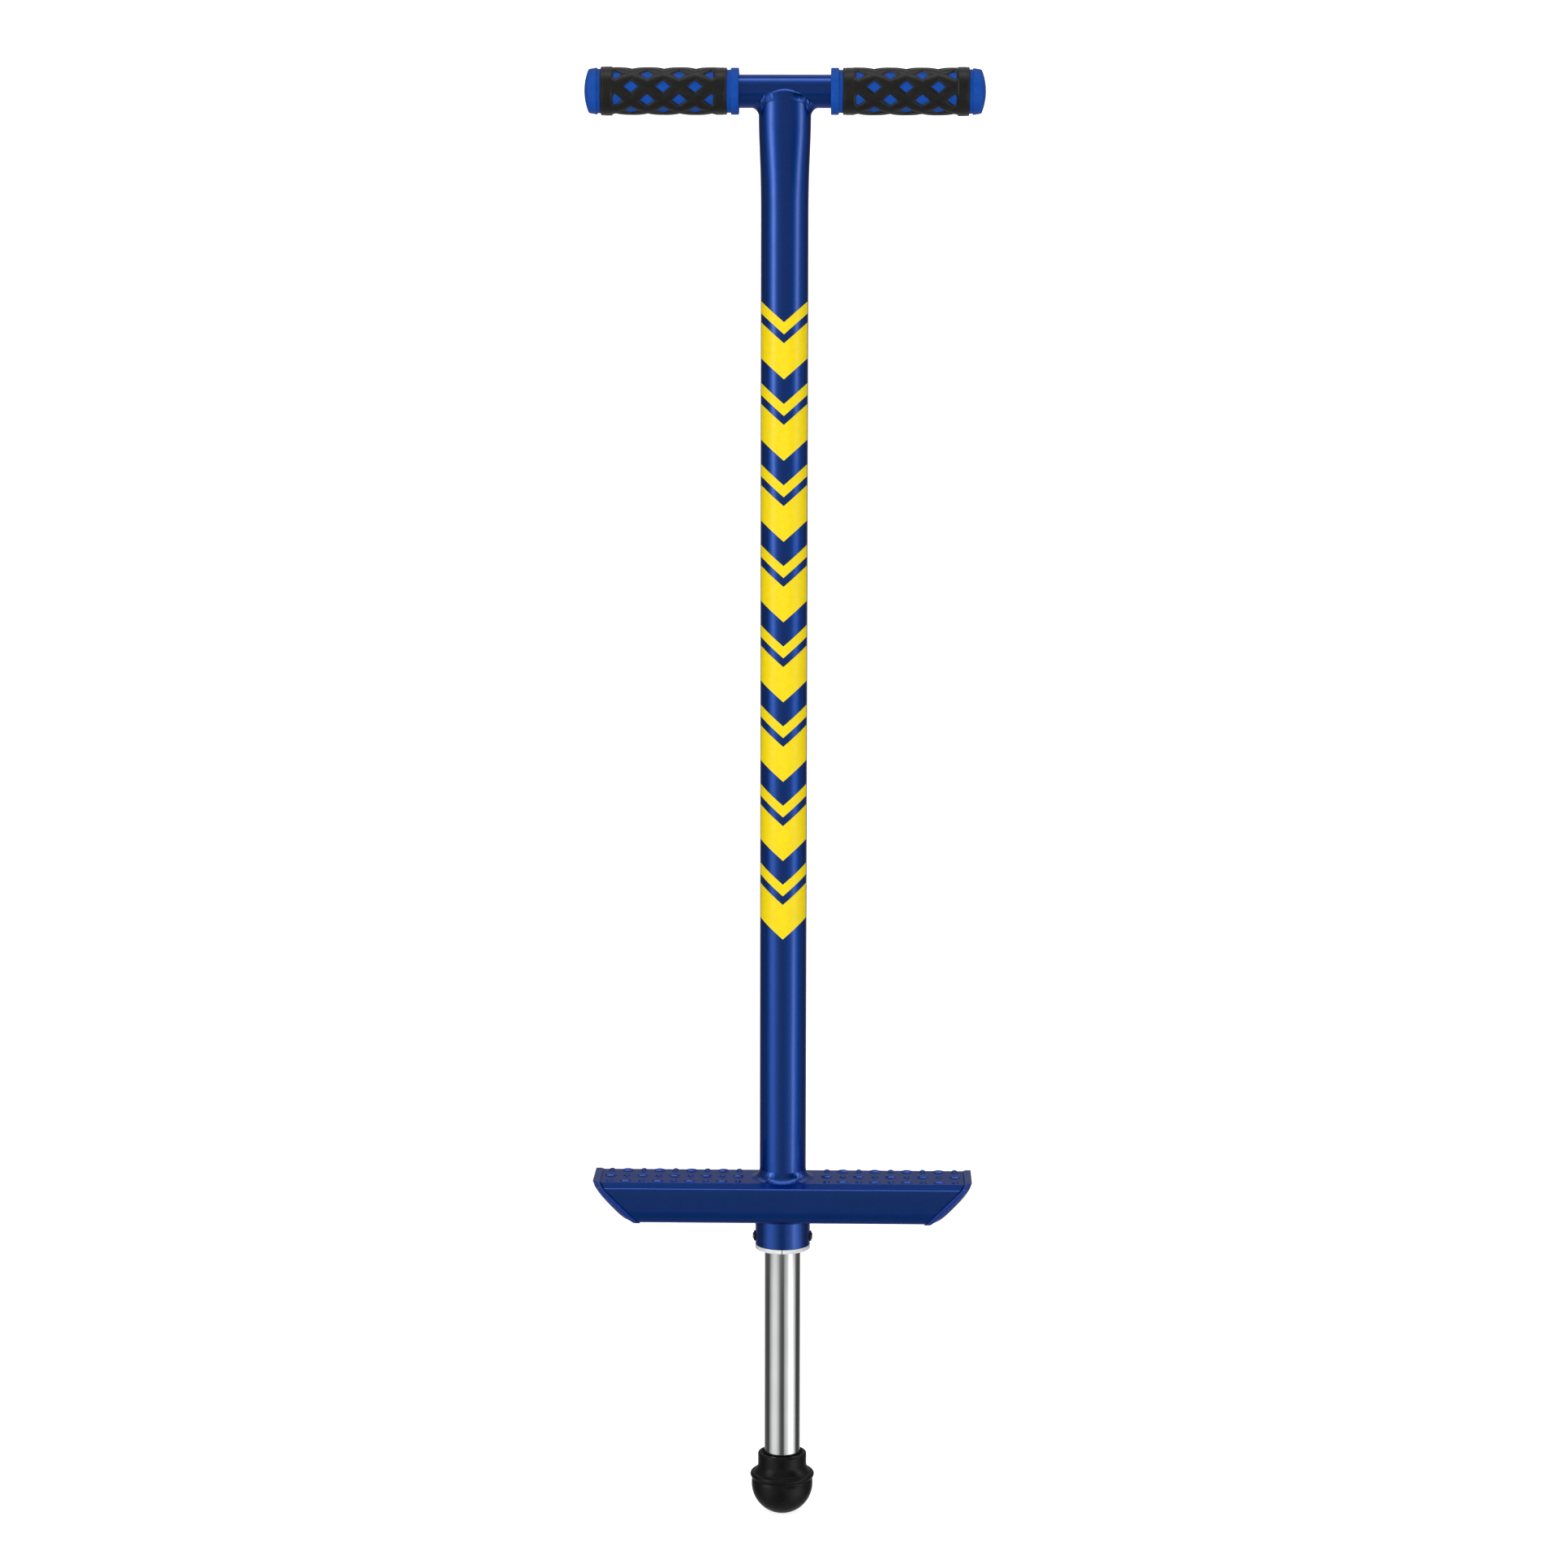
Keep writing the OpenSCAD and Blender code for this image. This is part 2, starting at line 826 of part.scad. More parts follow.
// Bead, cone and straight sleeve above the ball
module tip_sleeve() {
    translate([0, 0, bead_z])
        rotate_extrude()
            translate([bead_reach - bead_r, 0])
                circle(r = bead_r);
    translate([0, 0, bead_z])
        cylinder(r = skirt_r, h = skirt_z - bead_z);
    translate([0, 0, skirt_z])
        cylinder(r1 = skirt_r, r2 = sleeve_r, h = sleeve_z - skirt_z);
    translate([0, 0, sleeve_z])
        cylinder(r = sleeve_r, h = tip_h - rim_r - sleeve_z);
    translate([0, 0, tip_h - rim_r])
        rotate_extrude()
            translate([sleeve_r - rim_r, 0])
                circle(r = rim_r);
    translate([0, 0, sleeve_z])
        cylinder(r = sleeve_r - rim_r, h = tip_h - sleeve_z);
}

module rubber_tip() {
    sliver = 0.001;
    color(rubber_black)
        difference() {
            union() {
                ball_foot();
                tip_sleeve();
            }
            translate([0, 0, piston_bottom - insert_t])
                cylinder(r = piston_d / 2, h = tip_h);
            translate([0, 0, tip_h - mouth_h])
                cylinder(r1 = piston_d / 2, r2 = mouth_r, h = mouth_h + sliver);
        }
}

main_tube();
handlebar_tube();
handlebar_weld();
left_grip_core();
right_grip_core();
left_grip_lattice();
right_grip_lattice();
footplate();
footplate_weld();
left_end_cap();
right_end_cap();
lower_collar();
collar_weld();
bottom_bushing();
bushing_screws();
screw_washers();
upper_spring_seat();
rebound_bumper();
spring();
tube_graphics();
lower_spring_washer();
piston_tube();
piston_guide();
guide_pin();
stop_collar();
tip_insert();
rubber_tip();
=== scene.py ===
"""Looks of the spring pogo stick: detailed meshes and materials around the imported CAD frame."""

import math

import bmesh
import bpy
from mathutils import Matrix, Vector, noise


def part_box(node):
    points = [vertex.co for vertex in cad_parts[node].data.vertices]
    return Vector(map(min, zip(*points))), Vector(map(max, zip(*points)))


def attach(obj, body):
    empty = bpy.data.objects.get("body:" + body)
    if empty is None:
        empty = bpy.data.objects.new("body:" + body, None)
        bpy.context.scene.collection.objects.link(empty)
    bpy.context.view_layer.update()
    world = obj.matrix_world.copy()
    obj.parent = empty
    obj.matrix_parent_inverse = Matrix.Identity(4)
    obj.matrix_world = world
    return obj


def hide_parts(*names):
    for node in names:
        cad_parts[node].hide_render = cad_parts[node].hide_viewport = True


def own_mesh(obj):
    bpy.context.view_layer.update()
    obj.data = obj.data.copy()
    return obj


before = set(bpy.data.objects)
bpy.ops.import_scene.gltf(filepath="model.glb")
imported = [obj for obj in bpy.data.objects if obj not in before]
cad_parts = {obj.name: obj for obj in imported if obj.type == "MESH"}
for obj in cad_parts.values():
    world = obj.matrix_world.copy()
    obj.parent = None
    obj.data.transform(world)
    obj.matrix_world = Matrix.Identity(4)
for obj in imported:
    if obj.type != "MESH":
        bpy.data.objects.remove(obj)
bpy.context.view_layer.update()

MM = 0.001
TINY = 1e-6


# ---------------------------------------------------------------- sizes, in millimetres

def cad_mm(node):
    """A CAD node's lowest and highest corners, in millimetres."""
    low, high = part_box(node)
    return low / MM, high / MM


BAR_LOW, BAR_HIGH = cad_mm("handlebar_tube")
BAR_R = (BAR_HIGH.z - BAR_LOW.z) / 2
BAR_Z = (BAR_HIGH.z + BAR_LOW.z) / 2
BAR_HALF = BAR_HIGH.x

TUBE_LOW, TUBE_HIGH = cad_mm("main_tube")
TUBE_R = TUBE_HIGH.y
TUBE_WALL = 1.5
BAR_WALL = 1.6
FLAT_A = TUBE_HIGH.x  # half width of the flattened top
FLAT_B = 14.25  # half depth of the flattened top
FLARE_FROM = BAR_Z - 89
FLARE_TO = BAR_Z - 16
ARCH_Z = BAR_Z - 3  # top of the tube's front and back walls

GRIP_LOW, GRIP_HIGH = cad_mm("right_grip_core")
GRIP_R = (GRIP_HIGH.z - GRIP_LOW.z) / 2
CORE_R = 14.2
LATTICE_LOW, LATTICE_HIGH = cad_mm("right_grip_lattice")
LATTICE_R = 15.8
INNER_BAND_R = 15.6
OUTER_BAND_R = LATTICE_HIGH.y
BAND_L = 8.0
CELL_X = 10.65  # half the step between the windows of one row
CELL_TURN = 9.93  # from one row of windows to the next, round the lattice
ROWS = 10
FIRST_ROW = 11.0  # degrees above the front
WINDOW_CUT = 33.3  # where the bands cut the outermost windows
STRAND_HALF = 3.8  # half width of a strand
DIP = 0.35  # how far the lattice's inner face lies under the core's surface

PLATE_LOW, PLATE_HIGH = cad_mm("footplate")
LUG_H = 1.3
PLATE_Z = PLATE_LOW.z
PLATE_TOP = PLATE_HIGH.z - LUG_H
PLATE_H = PLATE_TOP - PLATE_Z
PLATE_Y = PLATE_HIGH.y
PLATE_HALF = PLATE_HIGH.x
PLATE_MID = (PLATE_Z + PLATE_TOP) / 2
PLATE_CORNER = 5.5  # radius of the lower corners
PLATE_WALL = 1.6
SHOULDER_R = 3.0  # radius at both ends of the sloping shoulder
SHOULDER_A = 22.0  # its slope in degrees
SHOULDER_L = 6.0  # its length along the slope
SHOULDER_Y = PLATE_Y - SHOULDER_R
CREST_Y = SHOULDER_Y - SHOULDER_L * math.cos(math.radians(SHOULDER_A))
CREST_Z = PLATE_TOP - SHOULDER_R
SHOULDER_Z = CREST_Z - SHOULDER_L * math.sin(math.radians(SHOULDER_A))
LUG_HALF_L = 4.35
LUG_HALF_W = 2.6
FIRST_LUG = 30.6  # from the footplate's middle
LUG_STEP = 11.1
LUG_ROW = 15.0  # from row to row
SCREW_R = 1.5  # of the shank

COLLAR_LOW, COLLAR_HIGH = cad_mm("lower_collar")
COLLAR_R = COLLAR_HIGH.x
BUSH_LOW, BUSH_HIGH = cad_mm("bottom_bushing")
PISTON_LOW, PISTON_HIGH = cad_mm("piston_tube")
PISTON_R = PISTON_HIGH.x
SPRING_LOW, SPRING_HIGH = cad_mm("spring")
TIP_TOP = cad_mm("rubber_tip")[1].z


# ---------------------------------------------------------------- camera, lights and stage

CAM_DISTANCE = 2.6564
CAM_HEIGHT = 0.9099
CAM_PITCH = 8.41
CAM_YAW = 1.2
CAM_ROLL = 0.12
CAM_LENS = 90.12
AIM_X = 0.0003


def make_camera():
    data = bpy.data.cameras.new("camera")
    data.lens = CAM_LENS
    data.sensor_width = 36
    cam = bpy.data.objects.new("camera", data)
    yaw = math.radians(CAM_YAW)
    spot = Vector((AIM_X + CAM_DISTANCE * math.sin(yaw), -CAM_DISTANCE * math.cos(yaw), CAM_HEIGHT))
    turn = Matrix.Rotation(yaw, 4, "Z") @ Matrix.Rotation(math.radians(90 - CAM_PITCH), 4, "X")
    cam.matrix_world = Matrix.Translation(spot) @ turn @ Matrix.Rotation(math.radians(CAM_ROLL), 4, "Z")
    bpy.context.scene.collection.objects.link(cam)
    bpy.context.scene.camera = cam


def make_fill():
    """A wide soft light from the front that reaches matt surfaces only, and shows in no reflection."""
    width, distance, height, radiance = 1.8, 2.2, 0.75, 2.9
    data = bpy.data.lights.new("front_fill", "AREA")
    data.size = width
    data.energy = radiance * math.pi * width * width
    light = bpy.data.objects.new("front_fill", data)
    light.location = (0, -distance, height)
    light.rotation_euler = (math.radians(90), 0, 0)
    light.visible_camera = False
    light.visible_glossy = False
    bpy.context.scene.collection.objects.link(light)


class Nodes:
    """Short calls that add shader nodes to a world or a material."""

    def __init__(self, owner):
        owner.use_nodes = True
        self.tree = owner.node_tree

    def put(self, socket, value):
        """Sets a socket to a constant, or links another node's output to it."""
        if isinstance(value, bpy.types.NodeSocket):
            self.tree.links.new(value, socket)
        else:
            socket.default_value = value

    def put_all(self, node, inputs):
        for name, value in inputs.items():
            self.put(node.inputs[name.replace("_", " ")], value)

    def node(self, kind, **inputs):
        node = self.tree.nodes.new("ShaderNode" + kind)
        self.put_all(node, inputs)
        return node


class WorldNodes(Nodes):
    """The sums and curves that the world's light is made of."""

    def calc(self, operation, a, b=0.0):
        node = self.node("Math")
        node.operation = operation
        self.put(node.inputs[0], a)
        self.put(node.inputs[1], b)
        return node.outputs[0]

    def profile(self, factor, stops, top):
        """A smooth curve through (position, height) stops, with positions from 0 to 1."""
        node = self.node("FloatCurve", Value=factor)
        curve = node.mapping.curves[0]
        for position, height in stops[1:-1]:
            curve.points.new(position, height / top)
        for point, (position, height) in zip(curve.points, stops):
            point.location = (position, height / top)
        node.mapping.update()
        return self.calc("MULTIPLY", node.outputs["Value"], top)


# Brightness round the horizon. Azimuth 0 is behind the camera, and 90 is to its right.
# The chromed piston reflects the low profile, and the painted tubes reflect the upper one.
LOW_LIGHT = [
    (-180, 0.42), (-166, 0.6), (-150, 0.3), (-132, 0.1), (-110, 0.05), (-97, 0.05), (-88, 0.3),
    (-80, 0.55), (-68, 0.8), (-56, 1.08), (-44, 1.1), (-34, 0.86), (-24, 0.6), (-13, 0.2), (-2, 0.06),
    (7, 0.08), (13, 0.35), (19, 0.62), (28, 0.85), (39, 1.2), (50, 1.7), (62, 1.8), (74, 1.35),
    (86, 0.85), (94, 0.4), (102, 0.06), (126, 0.05), (150, 0.3), (166, 0.6), (180, 0.42),
]
UPPER_LIGHT = [
    (-180, 0.25), (-160, 0.22), (-140, 0.1), (-120, 0.08), (-104, 0.14), (-90, 0.05), (-34, 0.05),
    (-24, 0.24), (-10, 0.26), (10, 0.26), (26, 0.24), (38, 0.1), (46, 0.05), (86, 0.05),
    (104, 0.18), (120, 0.08), (140, 0.1), (160, 0.22), (180, 0.25),
]
# How much of each shows at each elevation, and the brightness that comes on top of them.
LOW_SHARE = [(-90, 0.05), (-60, 0.15), (-35, 0.6), (-24, 1), (-15.4, 1), (-14.7, 0.1), (-14, 0), (90, 0)]
UPPER_SHARE = [(-90, 0), (-40, 0), (-15.6, 0), (-14.4, 1), (20, 1), (50, 0.4), (75, 0.1), (90, 0.1)]
PLAIN_LIGHT = [
    (-90, 0.22), (-45, 0.22), (-28, 0.05), (-14, 0.03), (20, 0.05), (50, 0.1), (70, 0.2), (90, 0.2),
]
# Upright strips that the painted tubes reflect, each a soft one and a narrow one inside it:
# azimuth on the horizon, how many degrees it shifts for each degree of elevation, half width,
# brightness, and the share that shows at each elevation.
SOFT_SHARE = [(-90, 0), (-16, 0), (-14.5, 0.5), (-11, 1), (22, 1), (45, 0.3), (60, 0), (90, 0)]
LEFT_SHARE = [(-90, 0), (-9, 0), (-6, 0.25), (-2, 0.85), (1, 1), (22, 1), (45, 0.3), (60, 0), (90, 0)]
RIGHT_SHARE = [
    (-90, 0), (-16, 0), (-14.5, 0.8), (-12, 0.8), (-8, 0), (-5, 0), (-1, 1), (22, 1), (60, 0), (90, 0),
]
STRIPS = [
    (-54, -0.3, 20, 1.1, SOFT_SHARE), (65.5, 1.0, 17, 1.05, SOFT_SHARE),
    (-54, -0.3, 9, 2.8, LEFT_SHARE), (65.5, 1.0, 8, 2.1, RIGHT_SHARE),
]
# Brightness overhead, by the angle from the front horizon over the zenith to the back.
OVERHEAD = [
    (0, 0), (20, 0.0), (45, 0.06), (60, 0.12), (70, 0.3), (80, 1.0), (87, 2.4), (95, 1.0), (103, 0.1),
    (121, 0.02), (127, 0.3), (131, 0.9), (136, 0.9), (141, 0.3), (148, 0.05), (180, 0.05),
]
OVERHEAD_SPREAD = [(0, 1), (0.4, 1), (0.65, 0.1), (0.8, 0), (1, 0)]


def spaced(stops, span):
    """Stops at angles from -span/2 to span/2 degrees, as positions from 0 to 1."""
    return [(a / span + 0.5, v) for a, v in stops]


def make_world():
    """Soft light round the horizon, upright strips on both sides, and panels overhead."""
    world = bpy.data.worlds.new("studio")
    bpy.context.scene.world = world
    w = WorldNodes(world)
    w.tree.nodes.clear()
    x, y, z = w.node("SeparateXYZ", Vector=w.node("TexCoord").outputs["Generated"]).outputs
    towards = w.calc("MULTIPLY", y, -1.0)
    azimuth = w.calc("ARCTAN2", x, towards)
    elevation = w.calc("ARCSINE", z)
    turn = w.calc("ADD", w.calc("DIVIDE", azimuth, 2 * math.pi), 0.5)
    tilt = w.calc("ADD", w.calc("DIVIDE", elevation, math.pi), 0.5)
    light = w.profile(tilt, spaced(PLAIN_LIGHT, 180), 1.0)
    for stops, shares in ((LOW_LIGHT, LOW_SHARE), (UPPER_LIGHT, UPPER_SHARE)):
        around = w.profile(turn, spaced(stops, 360), 2.0)
        share = w.profile(tilt, spaced(shares, 180), 1.0)
        light = w.calc("ADD", light, w.calc("MULTIPLY", around, share))
    for centre, lean, half_width, brightness, shares in STRIPS:
        middle = w.calc("ADD", w.calc("MULTIPLY", elevation, lean), math.radians(centre))
        off = w.calc("DIVIDE", w.calc("SUBTRACT", azimuth, middle), math.radians(half_width))
        fall = w.calc("EXPONENT", w.calc("MULTIPLY", w.calc("MULTIPLY", off, off), -1.0))
        share = w.profile(tilt, spaced(shares, 180), 1.0)
        strip = w.calc("MULTIPLY", w.calc("MULTIPLY", fall, share), brightness)
        light = w.calc("ADD", light, strip)
    over = w.calc("DIVIDE", w.calc("ARCTAN2", w.calc("MAXIMUM", z, 0.0), towards), math.pi)
    over = w.profile(over, [(a / 180, v) for a, v in OVERHEAD], 3.0)
    spread = w.profile(w.calc("ABSOLUTE", x), OVERHEAD_SPREAD, 1.0)
    light = w.calc("ADD", light, w.calc("MULTIPLY", over, spread))
    back = w.node("Background", Color=(1, 1, 1, 1), Strength=light)
    w.node("OutputWorld", Surface=back.outputs["Background"])


def make_floor():
    """A pale round floor that curves up into a wall on every side."""
    flat_r, curve_r, wall_z = 3.2, 1.6, 6.0
    path = [(0.0, 0.0), (flat_r, 0.0)]
    for k in range(1, 13):
        a = k / 12 * math.pi / 2
        path.append((flat_r + curve_r * math.sin(a), curve_r * (1 - math.cos(a))))
    path.append((flat_r + curve_r, wall_z))
    floor = lathe("studio_floor", [(r / MM, z / MM) for r, z in path], "Z", 128, closed=False)
    paper = Surface(
        "studio_floor", Base_Color=(0.9, 0.9, 0.9, 1), Roughness=0.9, Specular_IOR_Level=0.0,
        Emission_Color=(1, 1, 1, 1), Emission_Strength=0.75,
    )
    floor.data.materials.append(paper.mat)
    floor.visible_diffuse = False
    floor.visible_glossy = False
    floor.visible_shadow = False


# ---------------------------------------------------------------- mesh helpers

def make_mesh(name, verts, faces):
    """A smooth-shaded mesh object from points in millimetres."""
    mesh = bpy.data.meshes.new(name)
    mesh.from_pydata([tuple(c * MM for c in v) for v in verts], [], faces)
    mesh.validate()
    mesh.shade_smooth()
    obj = bpy.data.objects.new(name, mesh)
    bpy.context.scene.collection.objects.link(obj)
    return obj


def outward(obj):
    """Turns every face of a closed mesh outwards."""
    work = bmesh.new()
    work.from_mesh(obj.data)
    bmesh.ops.recalc_face_normals(work, faces=work.faces)
    work.to_mesh(obj.data)
    work.free()
    return obj


def rounded_path(corners, closed=True, steps=4, hold=0.3):
    """Points along an outline of (r, h, radius) corners, each rounded by its own radius.
    Two more points hold each straight stretch flat beside its rounded corners."""
    path = []
    count = len(corners)
    for i, (r, h, radius) in enumerate(corners):
        here = Vector((r, h))
        if radius == 0 or (not closed and i in (0, count - 1)):
            path.append(tuple(here))
            continue
        back = Vector(corners[i - 1][:2]) - here
        ahead = Vector(corners[(i + 1) % count][:2]) - here
        half = back.angle(ahead) / 2
        cut = min(radius / math.tan(half), back.length * 0.48, ahead.length * 0.48)
        start = here + back.normalized() * cut
        end = here + ahead.normalized() * cut
        if back.length > 2.5 * (cut + hold):
            path.append(tuple(start + back.normalized() * hold))
        path += [tuple(bezier(start, here, end, k / steps)) for k in range(steps + 1)]
        if ahead.length > 2.5 * (cut + hold):
            path.append(tuple(end + ahead.normalized() * hold))
    return path


def on_axis(axis, r, angle, h):
    """A point at radius r and height h round the X or Z axis."""
    if axis == "Z":
        return (r * math.cos(angle), r * math.sin(angle), h)
    return (h, r * math.cos(angle), r * math.sin(angle))


def lathe(name, path, axis="Z", segments=128, closed=True, centre=(0, 0, 0)):
    """Turns a path of (radius, height) points round an axis. A point on the axis becomes a pole."""
    verts, faces, rings = [], [], []
    for r, h in path:
        count = 1 if r < TINY else segments
        rings.append((len(verts), count))
        for k in range(count):
            verts.append(on_axis(axis, r, 2 * math.pi * k / segments, h))
    pairs = list(zip(rings, rings[1:]))
    if closed:
        pairs.append((rings[-1], rings[0]))
    for (a, na), (b, nb) in pairs:
        if na == 1 and nb == 1:
            continue
        for k in range(segments):
            n = (k + 1) % segments
            if na == 1:
                faces.append((a, b + n, b + k))
            elif nb == 1:
                faces.append((a + k, a + n, b))
            else:
                faces.append((a + k, a + n, b + n, b + k))
    obj = make_mesh(name, [Vector(v) + Vector(centre) for v in verts], faces)
    has_inside = closed or max(path[0][0], path[-1][0]) < TINY
    return outward(obj) if has_inside else obj


def tube_piece(name, r_out, r_in, low, high, edge=0.3, segments=128):
    """A plain tube along Z with rounded rims."""
    corners = [(r_out, low, edge), (r_out, high, edge), (r_in, high, edge), (r_in, low, edge)]
    return lathe(name, rounded_path(corners), "Z", segments)


def grid_surface(rows, closed_rows=False):
    """Vertices and faces that join rows of equal length, each row a closed loop."""
    verts = [p for row in rows for p in row]
    width = len(rows[0])
    faces = []
    last = len(rows) if closed_rows else len(rows) - 1
    for i in range(last):
        a, b = i * width, ((i + 1) % len(rows)) * width
        for k in range(width):
            n = (k + 1) % width
            faces.append((a + k, a + n, b + n, b + k))
    return verts, faces


def closed_shell(name, rows):
    """A mesh that joins each row to the next, and the last one to the first."""
    verts, faces = grid_surface(rows, closed_rows=True)
    return outward(make_mesh(name, verts, faces))


def capped_bar(name, rows):
    """A mesh that joins each row to the next, with a flat face over the first and the last."""
    verts, faces = grid_surface(rows)
    width, count = len(rows[0]), len(verts)
    faces += [tuple(range(width)), tuple(reversed(range(count - width, count)))]
    return outward(make_mesh(name, verts, faces))


def add_fan(verts, faces, first, count, tip):
    """Closes a loop of vertices with a fan of triangles to a tip."""
    verts.append(tip)
    faces += [(first + k, first + (k + 1) % count, len(verts) - 1) for k in range(count)]


def mirrored(obj, name):
    """A copy of a right-hand piece for the left side."""
    mesh = obj.data.copy()
    mesh.transform(Matrix.Scale(-1, 4, (1, 0, 0)))
    mesh.flip_normals()
    copy = bpy.data.objects.new(name, mesh)
    bpy.context.scene.collection.objects.link(copy)
    return copy


def place(obj, body, node, material):
    """Every piece rides a body, stands for a CAD node and has its slot's finish."""
    obj.data.materials.clear()
    obj.data.materials.append(material)
    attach(obj, body)
    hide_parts(node)
    return obj


def smoothstep(low, high, value):
    t = min(1.0, max(0.0, (value - low) / (high - low)))
    return t * t * (3 - 2 * t)


def bezier(a, b, c, t):
    return a * (1 - t) ** 2 + b * 2 * t * (1 - t) + c * t ** 2


# ---------------------------------------------------------------- materials

class Surface(Nodes):
    """A principled material, with short calls for the layers that the pieces share."""

    def __init__(self, name, **inputs):
        self.mat = bpy.data.materials.new(name)
        super().__init__(self.mat)
        self.shader = self.tree.nodes["Principled BSDF"]
        self.put_all(self.shader, inputs)
        self.coords = self.node("TexCoord").outputs["Object"]
        self.bumps = None

    def texture(self, kind, size_mm, stretch=(1, 1, 1), **inputs):
        """A texture node in object coordinates whose features are about size_mm across."""
        mapping = self.node("Mapping", Scale=[s / (size_mm * MM) for s in stretch], Vector=self.coords)
        return self.node(kind, Scale=1.0, Vector=mapping.outputs["Vector"], **inputs)

    def noise(self, size_mm, detail=2.0, roughness=0.5, stretch=(1, 1, 1)):
        tex = self.texture("TexNoise", size_mm, stretch, Detail=detail, Roughness=roughness)
        return tex.outputs["Fac"]

    def cells(self, size_mm):
        """A random value for each flake about size_mm across."""
        tex = self.texture("TexVoronoi", size_mm)
        return self.node("SeparateColor", Color=tex.outputs["Color"]).outputs["Red"]

    def colour(self, factor, low, high, start=0.3, end=0.7):
        """A base colour that follows a factor from low to high."""
        node = self.node("ValToRGB", Fac=factor)
        for element, position, colour in zip(node.color_ramp.elements, (start, end), (low, high)):
            element.position = position
            element.color = (*colour, 1)
        self.put(self.shader.inputs["Base Color"], node.outputs["Color"])

    def spread(self, socket, factor, low, high):
        """A socket that follows a factor from low to high."""
        node = self.node("MapRange", Value=factor, From_Min=0.3, From_Max=0.7, To_Min=low, To_Max=high)
        self.put(self.shader.inputs[socket], node.outputs["Result"])

    def bump(self, factor, height_mm, target="Normal"):
        """Adds relief height_mm deep on top of the relief added so far."""
        node = self.node("Bump", Strength=1.0, Distance=height_mm * MM, Height=factor)
        if self.bumps is not None:
            self.put(node.inputs["Normal"], self.bumps)
        self.bumps = node.outputs["Normal"]
        self.put(self.shader.inputs[target], self.bumps)


def frame_paint():
    """Dark blue metallic enamel under a clear coat, with fine flakes and a trace of orange peel."""
    s = Surface(
        "frame_paint", Metallic=0.95, Roughness=0.35, Specular_Tint=(0.02, 0.42, 1.0, 1),
        Coat_Weight=0.7, Coat_Roughness=0.06, Coat_IOR=1.5,
    )
    s.colour(s.cells(0.16), (0.002, 0.044, 0.26), (0.004, 0.072, 0.42), 0.0, 1.0)
    s.spread("Roughness", s.noise(6.0, 3.0), 0.32, 0.38)
    s.bump(s.noise(2.2, 2.0), 0.012, target="Coat Normal")
    s.bump(s.cells(0.16), 0.006)
    return s.mat


def grip_blue():
    """Matt moulded blue rubber."""
    s = Surface("grip_blue", Roughness=0.5, Specular_IOR_Level=0.2)
    s.colour(s.noise(5.0, 4.0), (0.003, 0.062, 0.35), (0.006, 0.075, 0.41))
    s.spread("Roughness", s.noise(2.0), 0.46, 0.6)
    s.bump(s.noise(0.35, 3.0), 0.02)
    return s.mat


def lattice_black():
    """Satin black rubber with a fine eroded grain."""
    s = Surface("lattice_black", Roughness=0.4, Specular_IOR_Level=0.42)
    s.colour(s.noise(3.0, 4.0), (0.0045, 0.0041, 0.0037), (0.0085, 0.0077, 0.0069))
    s.spread("Roughness", s.noise(1.2), 0.34, 0.46)
    s.bump(s.noise(0.3, 3.0), 0.025)
    return s.mat


def cap_blue():
    """Satin moulded plastic of the footplate's end caps."""
    s = Surface("cap_blue", Roughness=0.22, Specular_IOR_Level=0.42)
    s.colour(s.noise(6.0, 3.0), (0.003, 0.026, 0.19), (0.004, 0.036, 0.25))
    s.spread("Roughness", s.noise(1.5), 0.19, 0.28)
    s.bump(s.noise(0.5, 2.0), 0.012)
    return s.mat


def chrome():
    """Bright chrome plating with faint drawing lines along the tube."""
    s = Surface("chrome", Metallic=1.0, Roughness=0.09)
    s.colour(s.noise(30.0, 2.0), (0.62, 0.625, 0.63), (0.67, 0.675, 0.68))
    s.spread("Roughness", s.noise(0.8, 3.0, stretch=(1, 1, 0.02)), 0.06, 0.13)
    s.bump(s.noise(0.6, 2.0, stretch=(1, 1, 0.01)), 0.0015)
    return s.mat


def tip_rubber():
    """Matt black moulded rubber with a dusty bloom."""
    s = Surface("tip_rubber", Roughness=0.34, Specular_IOR_Level=0.2)
    s.colour(s.noise(8.0, 5.0, 0.6), (0.002, 0.002, 0.002), (0.006, 0.0058, 0.0055))
    s.spread("Roughness", s.noise(1.6, 3.0), 0.28, 0.42)
    s.bump(s.noise(0.45, 3.0), 0.03)
    s.bump(s.noise(3.0, 2.0), 0.05)
    return s.mat


def nylon_white():
    """Natural white nylon, slightly waxy."""
    s = Surface("nylon_white", Roughness=0.42, Subsurface_Weight=0.25, Subsurface_Scale=0.002)
    s.colour(s.noise(4.0, 3.0), (0.78, 0.78, 0.77), (0.86, 0.86, 0.85))
    s.spread("Roughness", s.noise(1.2), 0.36, 0.5)
    s.bump(s.noise(0.5), 0.01)
    return s.mat


def zinc_steel():
    """Zinc plated steel with a faint crystalline mottle."""
    s = Surface("zinc_steel", Metallic=1.0, Roughness=0.28)
    s.colour(s.cells(0.7), (0.56, 0.57, 0.6), (0.68, 0.69, 0.7), 0.0, 1.0)
    s.spread("Roughness", s.noise(0.6, 3.0), 0.2, 0.38)
    s.bump(s.noise(0.3, 2.0), 0.006)
    return s.mat


def bare_steel():
    """Dark oiled steel with turning marks."""
    s = Surface("bare_steel", Metallic=1.0, Roughness=0.38)
    s.colour(s.noise(2.5, 5.0), (0.22, 0.215, 0.21), (0.36, 0.36, 0.365))
    s.spread("Roughness", s.noise(0.8, 3.0), 0.28, 0.5)
    s.bump(s.noise(0.25, 2.0, stretch=(0.1, 0.1, 1)), 0.008)
    return s.mat


